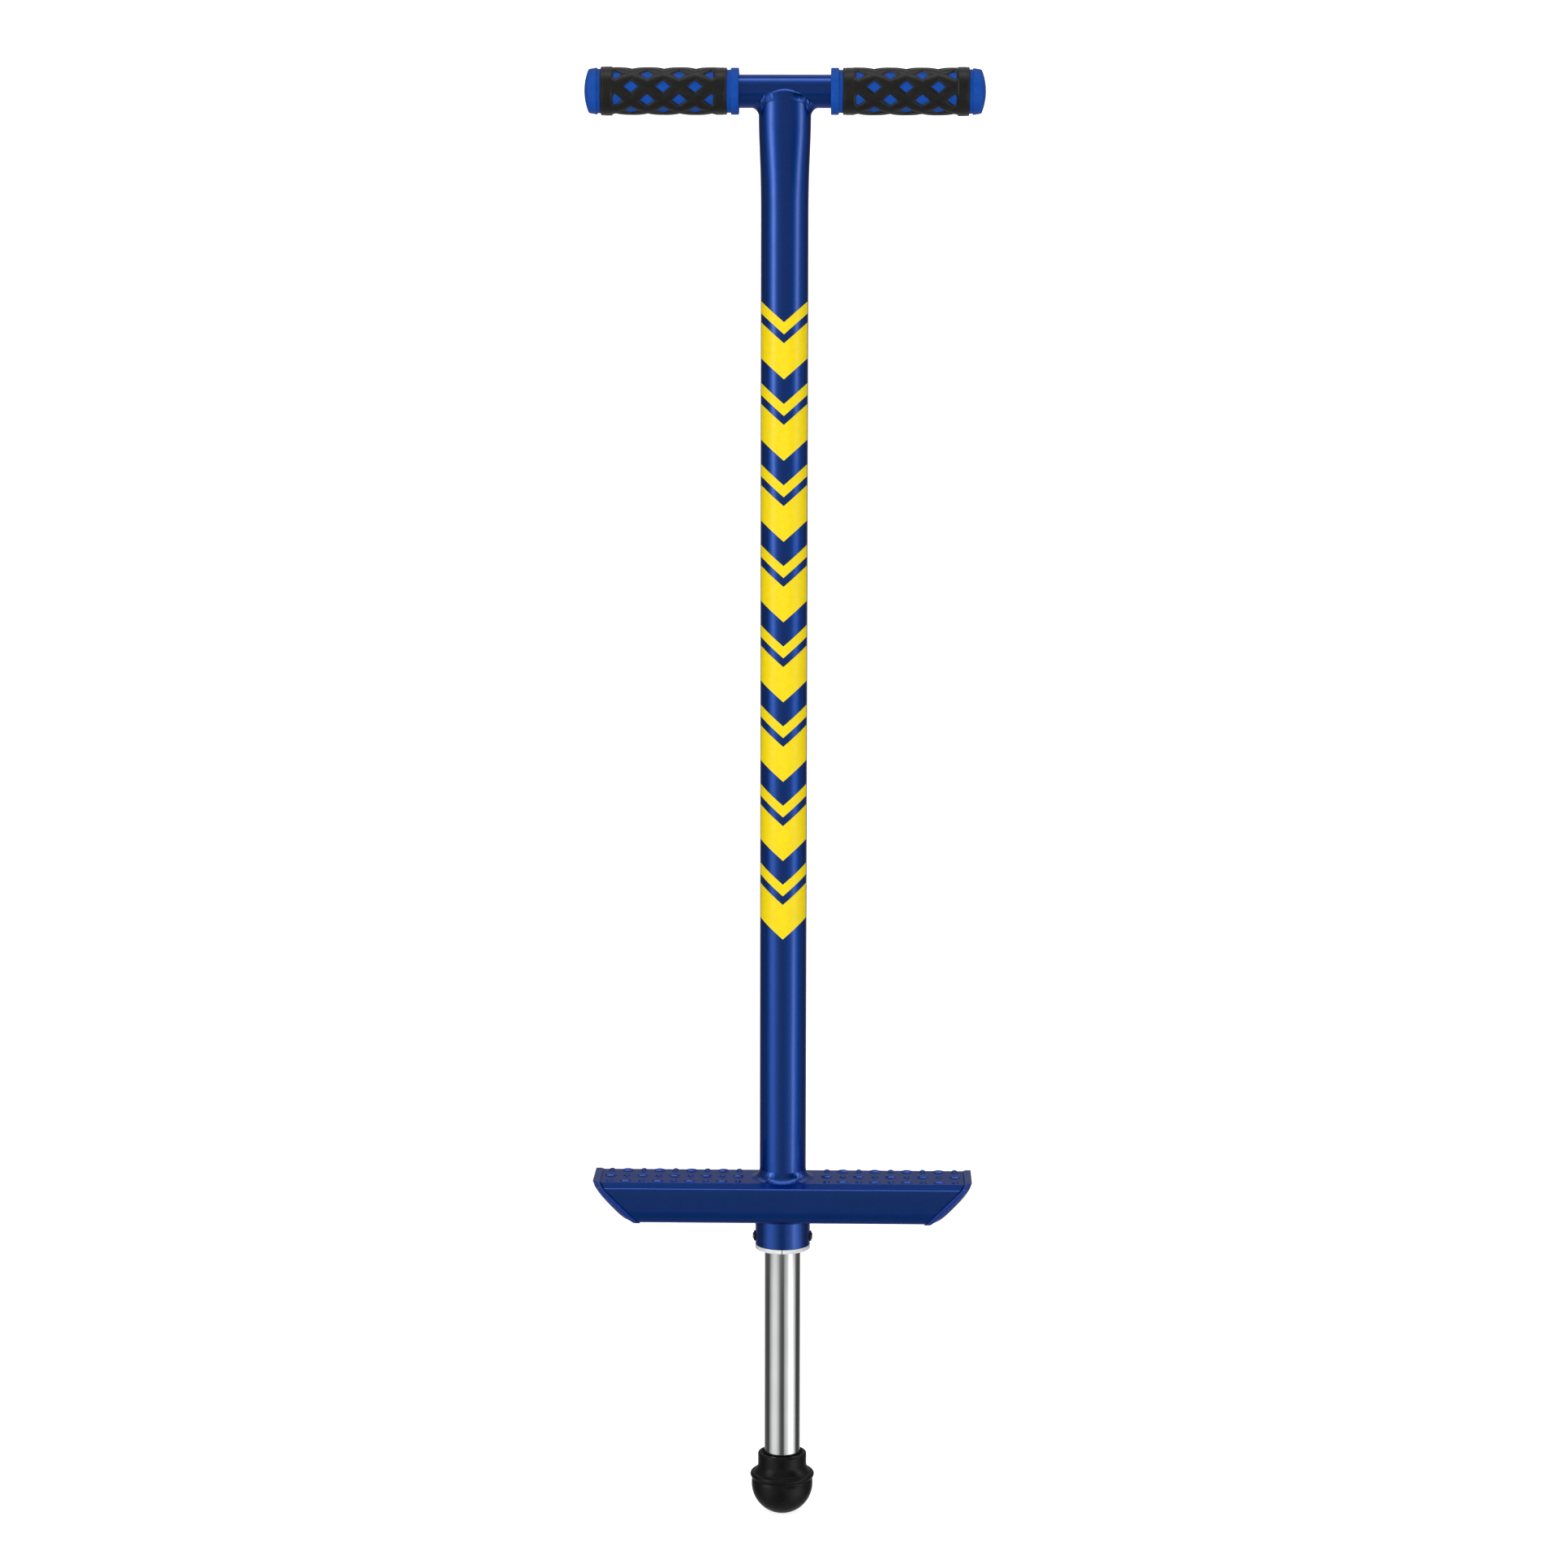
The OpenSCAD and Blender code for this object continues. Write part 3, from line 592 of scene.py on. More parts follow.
def spring_steel():
    """Drawn spring wire with a film of grease."""
    s = Surface("spring_steel", Metallic=1.0, Roughness=0.33, Coat_Weight=0.5, Coat_Roughness=0.2)
    s.colour(s.noise(1.5, 4.0), (0.26, 0.255, 0.25), (0.42, 0.42, 0.43))
    s.spread("Roughness", s.noise(0.5, 3.0), 0.25, 0.42)
    s.bump(s.noise(0.3, 2.0), 0.01)
    return s.mat


def print_yellow():
    """Glossy yellow print with a slight screen texture."""
    s = Surface(
        "print_yellow", Roughness=0.3, Specular_IOR_Level=0.3, Coat_Weight=0.15, Coat_Roughness=0.12,
    )
    s.colour(s.noise(4.0, 3.0), (0.93, 0.70, 0.0005), (0.97, 0.745, 0.001))
    s.spread("Roughness", s.noise(0.8), 0.26, 0.36)
    s.bump(s.noise(0.4, 2.0), 0.006)
    return s.mat


def washer_black():
    """Smooth black rubber of the washers and the rebound bumper."""
    s = Surface("washer_black", Roughness=0.45)
    s.colour(s.noise(1.0, 3.0), (0.012, 0.012, 0.012), (0.022, 0.022, 0.023))
    s.spread("Roughness", s.noise(0.6), 0.38, 0.55)
    s.bump(s.noise(0.25), 0.01)
    return s.mat


# ---------------------------------------------------------------- main tube and handlebar

def flare(z):
    """Half width and half depth of the main tube's section at a height."""
    t = smoothstep(FLARE_FROM, FLARE_TO, z) ** 1.9
    return TUBE_R + (FLAT_A - TUBE_R) * t, TUBE_R + (FLAT_B - TUBE_R) * t


def cope_z(y):
    """Top of the tube's wall at depth y, where it meets the handlebar."""
    sag = 8  # how far the edge hangs between the arch and the sides
    under = BAR_Z - math.sqrt(max(0.0, BAR_R ** 2 - y ** 2))
    share = min(1.0, (y / FLAT_B) ** 2)
    return min(ARCH_Z - sag * share * (1 - share), under)


def main_tube():
    segments, steps, crown = 128, 24, 6
    angles = [2 * math.pi * k / segments for k in range(segments)]
    heights = [TUBE_LOW.z, TUBE_LOW.z + 0.4, 300, 500, 700, FLARE_FROM - 20]
    heights += [FLARE_FROM + (FLARE_TO - FLARE_FROM) * k / steps for k in range(steps)]

    def wall(inset):
        """Rows up one face of the wall. The last ones lead over to the coped edge."""
        rows = []
        for z in heights:
            a, b = flare(z)
            rows.append([((a - inset) * math.cos(t), (b - inset) * math.sin(t), z) for t in angles])
        edge = [((FLAT_A - inset) * math.cos(t), (FLAT_B - inset) * math.sin(t)) for t in angles]
        for k in range(crown + 1):
            rows.append([(x, y, FLARE_TO + (cope_z(y) - FLARE_TO) * k / crown) for x, y in edge])
        return rows

    return closed_shell("main_tube_shell", wall(0) + wall(TUBE_WALL)[::-1])


def handlebar():
    bore, edge = BAR_R - BAR_WALL, 0.4
    corners = [
        (BAR_R, -BAR_HALF, edge), (BAR_R, BAR_HALF, edge), (bore, BAR_HALF, edge), (bore, -BAR_HALF, edge),
    ]
    return lathe("handlebar_bar", rounded_path(corners), "X", 128, centre=(0, 0, BAR_Z))


def handlebar_weld():
    """A bead from the tube's wall up to the handlebar, with a stack of ripples and four thick dabs."""
    around, across, ripples = 300, 14, 34
    dabs, dab_width = (40, 140, 220, 320), 9.0  # in degrees round the tube
    arch = math.acos((BAR_Z - ARCH_Z) / BAR_R)
    reach = BAR_R * arch
    root = 1.0  # how far the bead goes into the wall
    rows = []
    for k in range(around):
        t = 2 * math.pi * k / around
        c, s = math.cos(t), math.sin(t)
        wall = Vector((FLAT_A * c, FLAT_B * s, cope_z(FLAT_B * s)))
        side = abs(c) ** 3
        leg = 2.4 + 2.6 * side
        low = Vector(((FLAT_A - 0.05) * c, (FLAT_B - 0.05) * s, wall.z - leg))
        rise = min(math.asin(min(1.0, abs(wall.y) / BAR_R)), arch) * BAR_R - 9 * (s * c) ** 2
        up = math.copysign(max(0.0, rise), s)
        normal = Vector((c * reach, s * FLAT_A)).normalized()
        width = 2.2 + 3.2 * abs(s) ** 6 + 2.8 * side
        x, along = wall.x + width * normal.x, up + width * normal.y
        turn = along / BAR_R
        high = Vector((x, (BAR_R - 0.1) * math.sin(turn), BAR_Z - (BAR_R - 0.1) * math.cos(turn)))
        corner = wall + Vector((0, 0, 3.0 * abs(s) ** 4))
        out = Vector((c, s * 0.9, -0.35 * side)).normalized()
        row = []
        for m in range(across + 1):
            v = m / across
            point = bezier(low, corner, high, v)
            swell = math.sin(math.pi * v)
            ripple = 0.03 * math.sin(t * ripples)
            dab = sum(math.exp(-((math.degrees(t) - centre) / dab_width) ** 2) for centre in dabs)
            lumps = 0.55 + 0.45 * math.sin(math.degrees(t) * 0.9 + 5 * v) * math.sin(9 * v)
            row.append(point + out * swell * (0.5 + ripple + dab * (0.9 + 0.5 * lumps)))
        row.append(Vector(((FLAT_A - root) * c, (FLAT_B - root) * s, wall.z - 0.6)))
        rows.append(row)
    return closed_shell("handlebar_weld_bead", rows)


# ---------------------------------------------------------------- footplate

def plate_edge_z(y):
    """Height of the footplate's top surface at depth y: flat tread, sloping shoulder, round edge."""
    y = min(abs(y), PLATE_Y)
    slope = math.radians(SHOULDER_A)
    bend = SHOULDER_R * math.sin(slope)
    if y <= CREST_Y:
        return PLATE_TOP
    if y <= CREST_Y + bend:
        return CREST_Z + math.sqrt(SHOULDER_R ** 2 - (y - CREST_Y) ** 2)
    if y <= SHOULDER_Y + bend:
        return CREST_Z + SHOULDER_R * math.cos(slope) - (y - CREST_Y - bend) * math.tan(slope)
    return SHOULDER_Z + math.sqrt(SHOULDER_R ** 2 - (y - SHOULDER_Y) ** 2)


def lug_centres():
    """Centre and direction of every tread lug: alternate lugs lie along and across the footplate."""
    for side in (-1, 1):
        for k in range(9):
            for row in (-1, 0, 1):
                yield side * (FIRST_LUG + LUG_STEP * k), row * LUG_ROW, (k + abs(row)) % 2 == 1


def lug_height(u, v):
    """Height of a lens-shaped lug at u along it and v across it, or -1 outside it."""
    if abs(u) >= LUG_HALF_L:
        return -1.0
    arc = (LUG_HALF_L ** 2 + LUG_HALF_W ** 2) / (2 * LUG_HALF_W)
    edge = math.sqrt(arc ** 2 - u ** 2) - (arc - LUG_HALF_W)
    inside = 1 - abs(v) / max(edge, TINY)
    if inside <= 0:
        return -1.0
    ridge = math.sqrt(1 - (u / LUG_HALF_L) ** 2)
    flank = 0.7  # share of the half width where the lug still rises
    return LUG_H * ridge * math.sin(math.pi / 2 * min(1.0, inside / flank))


def plate_outline(inset, top_steps, side_steps, corner_steps):
    """The footplate's section as (y, z) points, from the top's back edge forwards and round."""
    rounds = [
        (-CREST_Y, CREST_Z, SHOULDER_R, 90, 90 + SHOULDER_A, side_steps),
        (-SHOULDER_Y, SHOULDER_Z, SHOULDER_R, 90 + SHOULDER_A, 180, side_steps),
        (PLATE_CORNER - PLATE_Y, PLATE_Z + PLATE_CORNER, PLATE_CORNER, 180, 270, side_steps),
        (PLATE_Y - PLATE_CORNER, PLATE_Z + PLATE_CORNER, PLATE_CORNER, 270, 360, side_steps),
        (SHOULDER_Y, SHOULDER_Z, SHOULDER_R, 0, 90 - SHOULDER_A, side_steps),
        (CREST_Y, CREST_Z, SHOULDER_R, 90 - SHOULDER_A, 90, top_steps),
    ]
    arcs = []
    for y, z, radius, start, end, run_steps in rounds:
        r = radius - inset
        turns = [math.radians(start + (end - start) * k / corner_steps) for k in range(corner_steps + 1)]
        arcs.append(([(y + r * math.cos(a), z + r * math.sin(a)) for a in turns], run_steps))
    points = []
    for (arc, run_steps), ahead in zip(arcs, arcs[1:] + arcs[:1]):
        points += arc
        (y0, z0), (y1, z1) = arc[-1], ahead[0][0]
        for k in range(1, run_steps):
            points.append((y0 + (y1 - y0) * k / run_steps, z0 + (z1 - z0) * k / run_steps))
    return points


def mitre_x(z):
    """Half length of the footplate at a height, where its mitre cuts it."""
    return PLATE_HALF - (PLATE_TOP - z)


def footplate():
    top_steps, side_steps, corner_steps = 88, 5, 8
    outer = plate_outline(0, top_steps, side_steps, corner_steps)
    inner = plate_outline(PLATE_WALL, top_steps, side_steps, corner_steps)
    columns = 560
    lugs = {}
    for cx, cy, across in lug_centres():
        lugs.setdefault(cy, []).append((cx, across))

    def lug_at(x, y):
        """Height of the lug at a point of the tread, or -1 between the lugs."""
        row = LUG_ROW * round(y / LUG_ROW)
        best = -1.0
        for cx, across in lugs.get(row, ()):
            u, v = x - cx, y - row
            if abs(u) < LUG_HALF_L:
                best = max(best, lug_height(v, u) if across else lug_height(u, v))
        return best

    rows = []
    for i in range(columns + 1):
        t = -1 + 2 * i / columns
        row = []
        for y, z in outer:
            x = t * mitre_x(z)
            row.append((x, y, max(z, PLATE_TOP + lug_at(x, y)) if z > PLATE_TOP - 0.5 else z))
        rows.append(row)
    for t in (1, 0.4, -0.4, -1):
        rows.append([(t * mitre_x(z), y, z) for y, z in inner])
    return cut_holes(closed_shell("footplate_tread", rows))


def cut_holes(plate):
    """Opens the top wall for the main tube and the bottom wall for the collar."""
    reach = 4
    for radius, z in ((TUBE_R, PLATE_TOP), (COLLAR_R, PLATE_Z)):
        path = [(0, z - reach), (radius, z - reach), (radius, z + reach), (0, z + reach)]
        tool = lathe("hole_cutter", path, "Z", 96, closed=False)
        # A small turn keeps the cutter's corners off the lines of the footplate's mesh.
        tool.data.transform(Matrix.Rotation(math.radians(1.3), 4, "Z"))
        cut = plate.modifiers.new("hole", "BOOLEAN")
        cut.operation = "DIFFERENCE"
        cut.solver = "EXACT"
        cut.object = tool
        bpy.context.view_layer.update()
        done = bpy.data.meshes.new_from_object(plate.evaluated_get(bpy.context.evaluated_depsgraph_get()))
        plate.modifiers.clear()
        plate.data = done
        bpy.data.objects.remove(tool)
    plate.data.shade_smooth()
    return plate


def ring_weld(name, r_in, rise, leg, toe_z, direction, ripples, depth):
    """A concave fillet round a tube, with ripples. direction is 1 on a top face and -1 under one.
    The bead's root reaches into the wall, and its edges sink in a little."""
    around, across, root, sink = 260, 12, 1.5, 0.1
    rows = []
    for k in range(around):
        t = 2 * math.pi * k / around
        c, s = math.cos(t), math.sin(t)
        wobble = 0.35 * noise.noise(Vector((c * 2.1, s * 2.1, r_in)))
        toe_r = r_in + leg + wobble
        base = toe_z(toe_r * s)
        start = Vector(((r_in - sink) * c, (r_in - sink) * s, toe_z(0) + direction * (rise + wobble)))
        corner = Vector(((r_in + 0.5) * c, (r_in + 0.5) * s, toe_z(0) + direction * 0.9))
        end = Vector((toe_r * c, toe_r * s, base - direction * sink))
        out = Vector((c * 0.7, s * 0.7, direction * 0.7))
        row = []
        for m in range(across + 1):
            v = m / across
            curl = 2 * math.pi * (k / around * ripples + 0.35 * v * v)
            wave = depth * (0.7 * math.sin(curl) + 0.3 * math.sin(2 * curl))
            row.append(bezier(start, corner, end, v) + out * wave * math.sin(math.pi * v))
        row += [Vector((r * c, r * s, toe_z(0) - direction * root)) for r in (toe_r - root, r_in - sink)]
        rows.append(row)
    return closed_shell(name, rows)


def end_cap():
    """A plug with a proud flange on the mitre, a pillow-shaped face and a hollow spigot."""
    gap, flange, dome = 0.65, 3.3, 4.6
    proud, edge, spigot_end, pocket = 0.75, 0.5, -10, gap + 0.6
    rim = plate_outline(-proud, 22, 6, 6)
    spigot = plate_outline(PLATE_WALL + 0.15, 22, 6, 6)
    half_y, half_z = PLATE_Y + proud, PLATE_H / 2 + proud

    def at(y, z, out):
        """The point at depth y and height z that stands out from the mitre."""
        return (mitre_x(z) + out * math.sqrt(2), y, z)

    def scaled(outline, share_y, share_z):
        return [(y * share_y, PLATE_MID + (z - PLATE_MID) * share_z) for y, z in outline]

    def face_out(y, z, share):
        """How far the pillow stands out. It is fuller below the middle than above it."""
        v, w = (z - PLATE_MID) / half_z, y / half_y
        full = 2.3 + 3.2 * smoothstep(0.2, -0.6, v)
        rise = (1 - abs(v) ** full) * (1 - abs(w) ** 4)
        return flange + dome * max(0.0, rise) * share - 0.6 * v * (1 - v * v) * share

    hollow = scaled(spigot, 0.82, 0.66)
    shrunk = scaled(rim, 1 - edge / half_y, 1 - edge / half_z)
    sections = [
        (hollow, pocket), (hollow, spigot_end), (spigot, spigot_end), (spigot, gap), (shrunk, gap),
        (rim, gap + 0.12), (rim, gap + edge), (rim, flange - 0.9), (rim, flange - 0.35),
    ]
    rows = [[at(y, z, out) for y, z in outline] for outline, out in sections]
    rings = 26
    for k in range(1, rings):
        size = 1 - (k / rings) ** 1.7
        share = smoothstep(1.0, 0.86, size)
        rows.append([at(y, z, face_out(y, z, share)) for y, z in scaled(rim, size, size)])
    verts, faces = grid_surface(rows)
    width = len(rim)
    add_fan(verts, faces, 0, width, at(0, PLATE_MID, pocket))
    add_fan(verts, faces, (len(rows) - 1) * width, width, at(0, PLATE_MID, face_out(0, PLATE_MID, 1.0)))
    return outward(make_mesh("right_end_cap_dome", verts, faces))


# ---------------------------------------------------------------- grips

def grip_core():
    start, end = GRIP_LOW.x, GRIP_HIGH.x
    flange, neck_r, bar_end = start + 5.3, CORE_R + 0.45, BAR_HALF + 0.5
    cap = LATTICE_HIGH.x + 2.5
    dome_h, dome_r, shoulder = 2.9, GRIP_R - 1, 0.8
    corners = [
        (BAR_R, bar_end, 0), (BAR_R, start, 0.4), (GRIP_R, start, 0.55), (GRIP_R, flange, 0.55),
        (CORE_R, flange, 0.3), (CORE_R, LATTICE_HIGH.x, 0.2), (neck_r, LATTICE_HIGH.x, 0.2),
        (neck_r, cap, 0.2), (GRIP_R, cap, 0.55), (dome_r, end - dome_h, 0),
    ]
    path = rounded_path(corners, closed=False)[:-1]
    sphere = (dome_r ** 2 + dome_h ** 2) / (2 * dome_h)
    dome_edge = math.asin(dome_r / sphere) * 0.93

    def dome(angle):
        return Vector((sphere * math.sin(angle), end - sphere * (1 - math.cos(angle))))

    below, corner = Vector((dome_r + 0.18, end - dome_h - shoulder)), Vector((dome_r, end - dome_h))
    path += [tuple(bezier(below, corner, dome(dome_edge), k / 4)) for k in range(5)]
    path += [tuple(dome(dome_edge * (1 - k / 16))) for k in range(1, 16)]
    path += [(0, end), (0, bar_end)]
    return lathe("right_grip_body", path, "X", 144, closed=True, centre=(0, 0, BAR_Z))


def lattice_height(x, turn):
    """Radius of the lattice's surface at x from its middle and turn in rows round it.
    Inside a window the surface dips below the blue core."""
    cell = CELL_X * CELL_TURN / math.hypot(CELL_X, CELL_TURN)

    def ridge(p):
        """Distance from the nearest strand's centre line of one family."""
        return abs(p - (2 * math.floor(p / 2) + 1)) * cell

    def strand(d):
        """Height of a strand's round back, as a share, at a distance from its centre line."""
        return math.sqrt(max(0.0, 1 - (d / (STRAND_HALF + 0.35)) ** 2))

    d1, d2 = ridge(x / CELL_X + turn), ridge(x / CELL_X - turn)
    side, top = 0.32, LATTICE_R - CORE_R
    lift = side + (top - side) * max(strand(d1), strand(d2) * 0.97)
    wall = 1 - smoothstep(STRAND_HALF - 0.15, STRAND_HALF + 0.3, min(d1, d2))
    if max(d1, d2) < STRAND_HALF:
        wall = 1.0
    return CORE_R - DIP + (lift + DIP) * wall


def grip_lattice():
    """A sleeve of crossing rounded strands with open diamond windows, between two end bands."""
    low, high = LATTICE_LOW.x, LATTICE_HIGH.x
    middle = (low + high) / 2
    around, along = 320, 252
    inner_r, skin = CORE_R - DIP, 0.25
    window_edge_r = CORE_R + 0.75
    groove, groove_at, groove_w, chamfer = 0.25, 1.6, 0.35, 0.55  # of the end bands

    def at_column(i):
        return low + (high - low) * i / along

    def surface(x, angle):
        turn = (angle - math.radians(FIRST_ROW)) / (2 * math.pi) * ROWS
        radius = lattice_height(x - middle, turn)
        cut = smoothstep(WINDOW_CUT - 0.15, WINDOW_CUT + 0.35, abs(x - middle))
        radius = max(radius, inner_r + (window_edge_r - inner_r) * cut)
        for gap, band_r in ((x - low, INNER_BAND_R), (high - x, OUTER_BAND_R)):
            if gap < BAND_L + 0.6:
                shoulder = 1 - smoothstep(BAND_L - 0.7, BAND_L + 0.5, gap)
                rim = groove * math.exp(-((gap - groove_at) / groove_w) ** 2)
                edge = chamfer * (1 - smoothstep(0.0, 0.7, gap)) ** 2
                band = inner_r + (band_r - inner_r - rim - edge) * shoulder
                radius = max(radius, band)
                if gap < BAND_L - 1.2:
                    radius = band
        return radius

    outer, inner, edges = {}, {}, {}
    verts, faces, faces_kept = [], [], []
    turns = [2 * math.pi * k / around for k in range(around)]
    radii = [[surface(at_column(i), angle) for angle in turns] for i in range(along + 1)]
    for i in range(along):
        for k in range(around):
            n = (k + 1) % around
            corners = ((i, k), (i, n), (i + 1, n), (i + 1, k))
            if any(radii[a][b] > inner_r + 0.02 for a, b in corners):
                faces_kept.append(corners)

    def vertex(store, key, radius):
        if key not in store:
            x, angle = at_column(key[0]), turns[key[1]]
            store[key] = len(verts)
            verts.append((x, -radius * math.cos(angle), BAR_Z + radius * math.sin(angle)))
        return store[key]

    for corners in faces_kept:
        faces.append(tuple(vertex(outer, c, radii[c[0]][c[1]]) for c in corners))
        faces.append(tuple(vertex(inner, c, inner_r - skin) for c in reversed(corners)))
        for a, b in zip(corners, corners[1:] + corners[:1]):
            if (b, a) in edges:
                del edges[(b, a)]
            else:
                edges[(a, b)] = True
    for a, b in edges:
        faces.append((outer[b], outer[a], inner[a], inner[b]))
    return outward(make_mesh("right_grip_mesh_sleeve", verts, faces))


# ---------------------------------------------------------------- collar, bushing and fasteners

def collar():
    low, high = COLLAR_LOW.z, COLLAR_HIGH.z
    corners = [(COLLAR_R, low, 0.5), (COLLAR_R, high, 0.3), (TUBE_R, high, 0.3), (TUBE_R, low, 0.4)]
    return lathe("collar_sleeve", rounded_path(corners), "Z", 144)


def bushing():
    """The nylon bushing, slit down the front so that the collar can squeeze it."""
    bore = PISTON_R + 0.1
    flange_top = COLLAR_LOW.z
    corners = [
        (bore, BUSH_LOW.z, 0.35), (COLLAR_R, BUSH_LOW.z, 0.7), (COLLAR_R, flange_top, 0.25),
        (TUBE_R, flange_top, 0.1), (TUBE_R, BUSH_HIGH.z, 0.4), (bore, BUSH_HIGH.z, 0.4),
    ]
    path = rounded_path(corners)
    segments, slit = 160, 0.3
    rows = []
    for k in range(segments + 1):
        row = []
        for r, z in path:
            half = slit / r
            t = -math.pi / 2 + half + (2 * math.pi - 2 * half) * k / segments
            row.append((r * math.cos(t), r * math.sin(t), z))
        rows.append(row)
    return capped_bar("bushing_flange", rows)


def screw_pair():
    """Two button-head screws with round sockets."""
    low, high = cad_mm("bushing_screws")
    head_r = (high.z - low.z) / 2
    tip, base, end = PISTON_R + 1.2, COLLAR_R + 1.0, high.x
    corners = [
        (SCREW_R, tip, 0.2), (SCREW_R, base, 0), (head_r, base, 0.15),
        (head_r, end - 0.35, 0.3), (1.75, end, 0.1),
    ]
    path = [(0, tip)] + rounded_path(corners, closed=False)
    path += [(1.3, end), (1.2, end - 0.1), (1.15, end - 0.6), (0, end - 0.6)]
    right = lathe("screw_heads", path, "X", 48, closed=False, centre=(0, 0, (low.z + high.z) / 2))
    return joined([right, mirrored(right, "screw_left")], "screw_heads")


def washer_pair():
    """Two black washers that follow the collar's curve."""
    low, high = cad_mm("screw_washers")
    z = (low.z + high.z) / 2
    washer_r = (high.z - low.z) / 2
    rings = (
        (SCREW_R, 0.0), (SCREW_R, 1.0), (washer_r - 0.3, 1.0), (washer_r - 0.06, 0.92),
        (washer_r, 0.7), (washer_r, 0.0),
    )
    segments = 64
    rows = []
    for r, share in rings:
        row = []
        for k in range(segments):
            t = 2 * math.pi * k / segments
            y = r * math.cos(t)
            seat = math.sqrt(COLLAR_R ** 2 - y * y) - 0.05
            row.append((seat + (high.x - seat) * share, y, z + r * math.sin(t)))
        rows.append(row)
    right = closed_shell("screw_seals", rows)
    return joined([right, mirrored(right, "washer_left")], "screw_seals")


def joined(objects, name):
    """Several mesh objects as one."""
    work = bmesh.new()
    for obj in objects:
        work.from_mesh(obj.data)
    mesh = bpy.data.meshes.new(name)
    work.to_mesh(mesh)
    work.free()
    mesh.shade_smooth()
    for obj in objects:
        bpy.data.objects.remove(obj)
    whole = bpy.data.objects.new(name, mesh)
    bpy.context.scene.collection.objects.link(whole)
    return whole


# ---------------------------------------------------------------- piston and inner pieces

def piston():
    return tube_piece("piston_chrome_tube", PISTON_R, PISTON_R - 2, PISTON_LOW.z, PISTON_HIGH.z, 0.4, 160)


def rubber_tip():
    """Ball foot, bead, flared skirt and sleeve, with a lip where the tube goes in."""
    ball, waist, sleeve = 21.4, 20.9, 16.9
    top, pocket = TIP_TOP, PISTON_LOW.z - 3
    skirt, skirt_bend = Vector((19.3, 30.35)), Vector((17.9, 31.8))

    def arc(r, z, radius, start, end, steps):
        turns = [math.radians(start + (end - start) * k / steps) for k in range(steps + 1)]
        return [(r + radius * math.cos(a), z + radius * math.sin(a)) for a in turns]

    path = [(0.0, 0.0)] + arc(0, ball, ball, -90, 0, 32)[1:]
    path += [
        (ball, 22.6), (ball - 0.05, 23.6), (waist + 0.1, 24.6), (waist - 0.02, 25.2), (waist + 0.05, 25.75),
    ]
    path += arc(20.3, 28.0, 2.05, -64, 86, 10)
    path += [(20.05, 29.75), (19.75, 29.9), tuple(skirt)]
    path += [tuple(bezier(skirt, skirt_bend, Vector((sleeve + 0.12, 34.6)), k / 9)) for k in range(1, 9)]
    path += [(sleeve, 35.2), (sleeve, 35.6), (sleeve, top - 1.9)]
    path += arc(sleeve - 1.3, top - 1.3, 1.3, 0, 90, 7)[1:]
    path += [(15.0, top), (14.6, top - 0.1), (14.3, top - 0.45), (13.6, top - 1.5), (13.2, top - 1.9)]
    path += [(PISTON_R + 0.25, top - 2.1), (PISTON_R, top - 2.6), (PISTON_R, pocket), (0.0, pocket)]
    return lathe("rubber_tip_boot", path, "Z", 160, closed=False)


def spring():
    """The coil spring, with a closed and ground turn at each end."""
    wire, radius = 2.1, 11.5
    low, high = SPRING_LOW.z, SPRING_HIGH.z
    turns, closed_pitch = 38, 4.45
    open_pitch = (high - low - 2 * closed_pitch) / (turns - 2)
    steps, sides = 28, 12

    def height(turn):
        if turn < 1:
            return closed_pitch * turn
        if turn > turns - 1:
            return high - low - closed_pitch * (turns - turn)
        return closed_pitch + open_pitch * (turn - 1)

    rows = []
    for i in range(turns * steps + 1):
        turn = i / steps
        a = 2 * math.pi * turn
        z = low + height(turn)
        row = []
        for k in range(sides):
            b = 2 * math.pi * k / sides
            r = radius + wire * math.cos(b)
            up = min(high, max(low, z + wire * math.sin(b)))
            row.append((r * math.cos(a), r * math.sin(a), up))
        rows.append(row)
    return capped_bar("coil_spring", rows)


def ring_like(node, name, r_in, edge=0.3):
    """A turned ring with the outer size of a CAD node."""
    low, high = cad_mm(node)
    return tube_piece(name, high.x, r_in, low.z, high.z, edge, 96)


def guide():
    low, high = cad_mm("piston_guide")
    r, bore = high.x, 5.0
    corners = [
        (PISTON_R, low.z, 0.3), (r, low.z, 0.6), (r, high.z, 0.5), (bore, high.z, 0.3),
        (bore, PISTON_HIGH.z, 0.2), (PISTON_R, PISTON_HIGH.z, 0.2),
    ]
    return lathe("piston_guide_sleeve", rounded_path(corners), "Z", 96)


def solid_turned(node, name, axis, edge=0.3):
    """A turned rod or disc with the size of a CAD node."""
    low, high = cad_mm(node)
    start, end = (low.z, high.z) if axis == "Z" else (low.x, high.x)
    r = (high.y - low.y) / 2
    corners = [(0, start, 0), (r, start, edge), (r, end, edge), (0, end, 0)]
    height = 0 if axis == "Z" else (low.z + high.z) / 2
    return lathe(name, rounded_path(corners, closed=False), axis, 64, closed=False, centre=(0, 0, height))


# ---------------------------------------------------------------- building the object

def place_pair(right, piece, part, material):
    """Places a piece for the stick's right side, and its mirror image on the left."""
    left = mirrored(right, "left_" + piece)
    place(right, "frame", "right_" + part, material)
    place(left, "frame", "left_" + part, material)


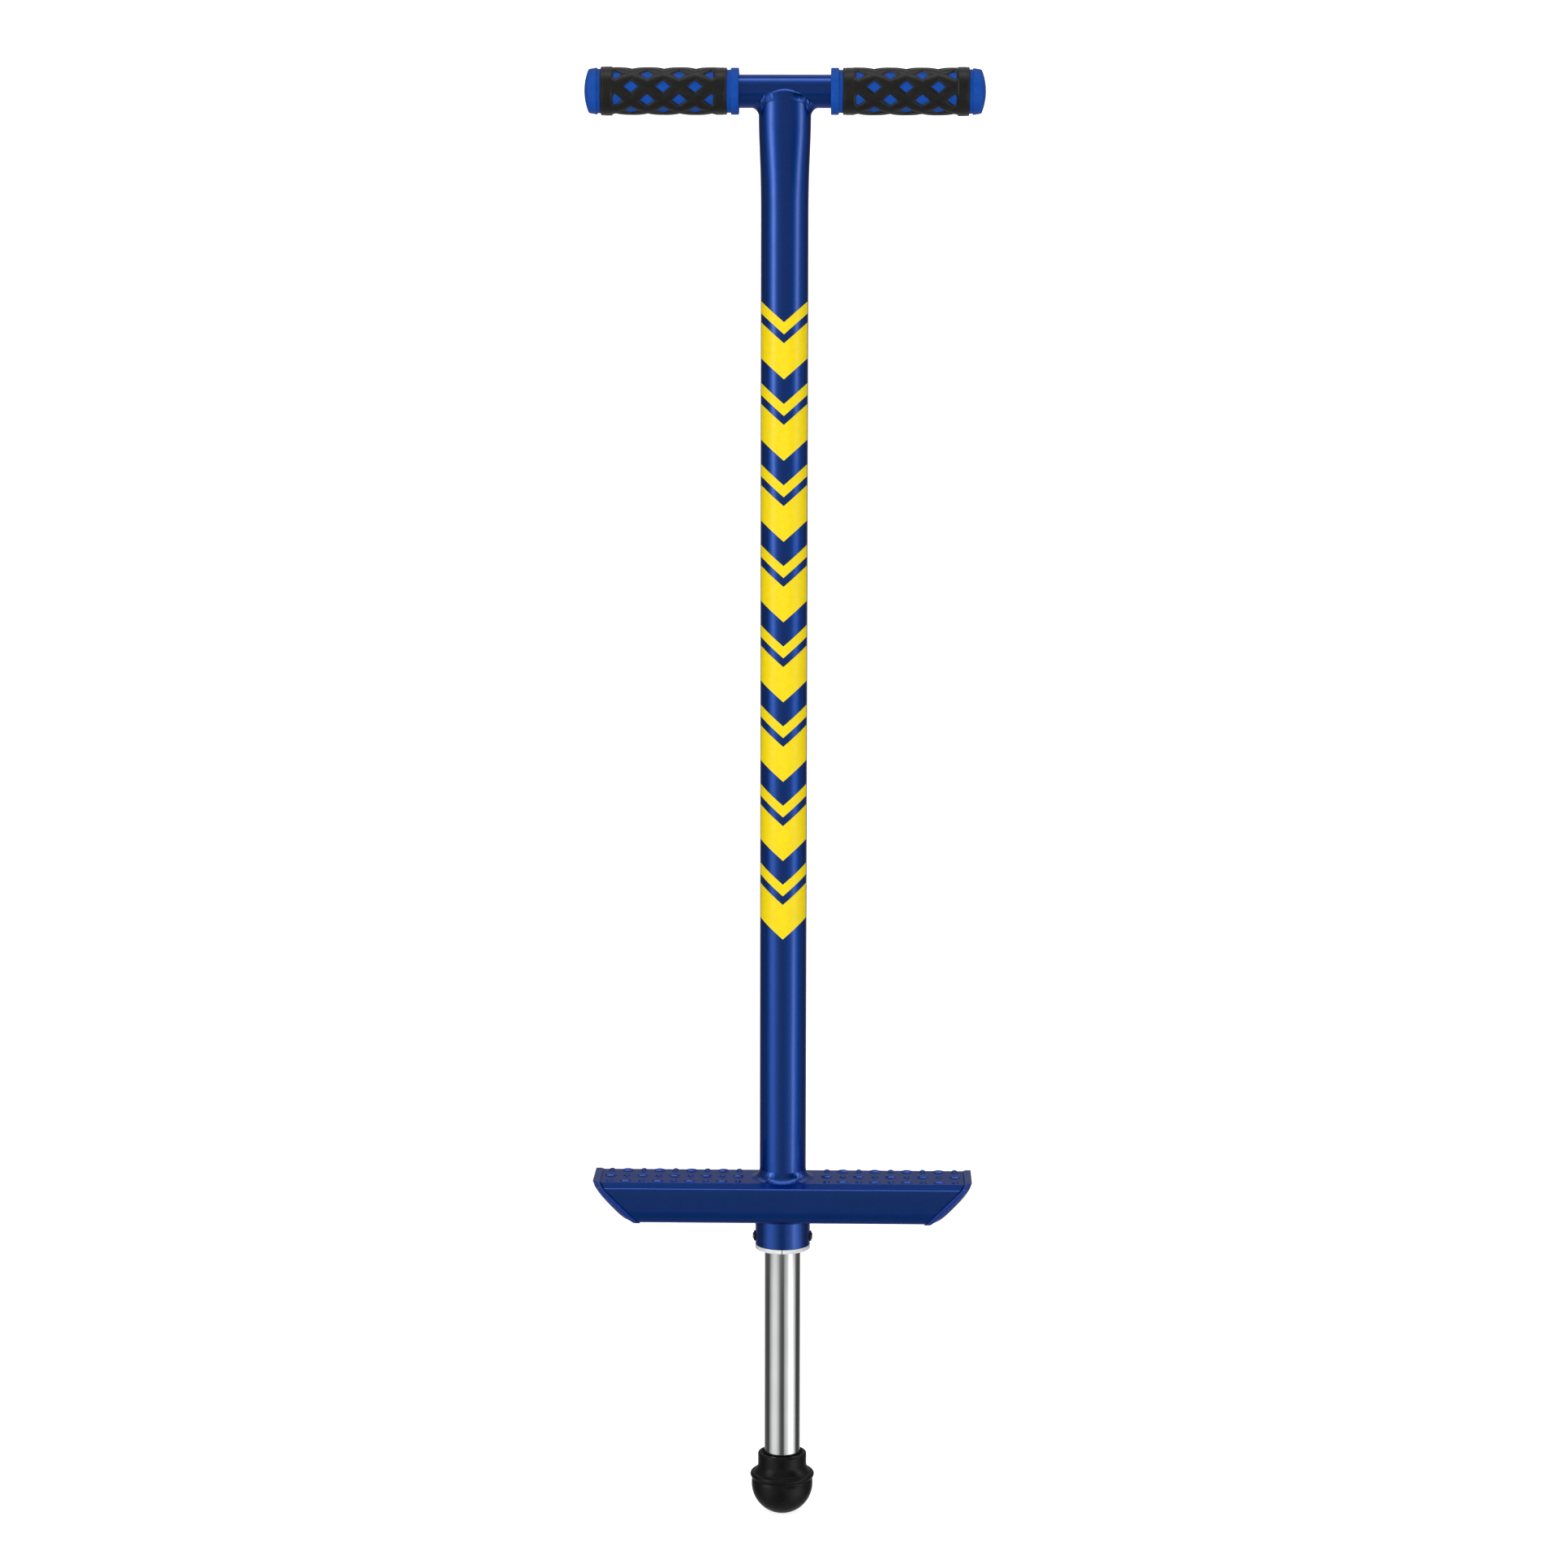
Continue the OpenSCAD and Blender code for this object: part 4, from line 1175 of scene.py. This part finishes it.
def build_frame():
    pieces = {
        "main_tube": main_tube(),
        "handlebar_tube": handlebar(),
        "handlebar_weld": handlebar_weld(),
        "footplate": footplate(),
        "footplate_weld": ring_weld("footplate_weld_fillet", TUBE_R, 6.8, 6.6, plate_edge_z, 1, 46, 0.07),
        "collar_weld": ring_weld("collar_weld_fillet", COLLAR_R, 2.2, 2.2, lambda y: PLATE_Z, -1, 60, 0.05),
        "lower_collar": collar(),
    }
    paint = frame_paint()
    for part, obj in pieces.items():
        place(obj, "frame", part, paint)
    place_pair(end_cap(), "end_cap_dome", "end_cap", cap_blue())


def build_grips():
    place_pair(grip_core(), "grip_body", "grip_core", grip_blue())
    place_pair(grip_lattice(), "grip_mesh_sleeve", "grip_lattice", lattice_black())


def build_lower_end():
    nylon, zinc, dark, seal = nylon_white(), zinc_steel(), bare_steel(), washer_black()
    place(bushing(), "frame", "bottom_bushing", nylon)
    place(screw_pair(), "frame", "bushing_screws", zinc)
    place(washer_pair(), "frame", "screw_washers", seal)
    seat = ring_like("upper_spring_seat", "spring_seat_disc", 5)
    place(seat, "frame", "upper_spring_seat", dark)
    bumper = ring_like("rebound_bumper", "rebound_ring", PISTON_R + 0.4, 0.5)
    place(bumper, "frame", "rebound_bumper", seal)
    washer = ring_like("lower_spring_washer", "spring_washer_disc", 6)
    place(washer, "spring_seat", "lower_spring_washer", zinc)
    place(guide(), "piston", "piston_guide", nylon)
    pin = solid_turned("guide_pin", "guide_cross_pin", "X")
    place(pin, "piston", "guide_pin", dark)
    stop = ring_like("stop_collar", "stop_ring", PISTON_R)
    place(stop, "piston", "stop_collar", dark)
    insert = solid_turned("tip_insert", "tip_steel_disc", "Z")
    place(insert, "piston", "tip_insert", zinc)
    place(piston(), "piston", "piston_tube", chrome())
    place(rubber_tip(), "piston", "rubber_tip", tip_rubber())


def build_spring():
    coil = place(spring(), "frame", "spring", spring_steel())
    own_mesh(coil)


def build_print():
    print_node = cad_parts["tube_graphics"]
    print_node.data.materials.clear()
    print_node.data.materials.append(print_yellow())


make_camera()
make_world()
make_fill()
make_floor()
build_frame()
build_grips()
build_lower_end()
build_spring()
build_print()

bpy.context.scene.view_settings.view_transform = "Standard"
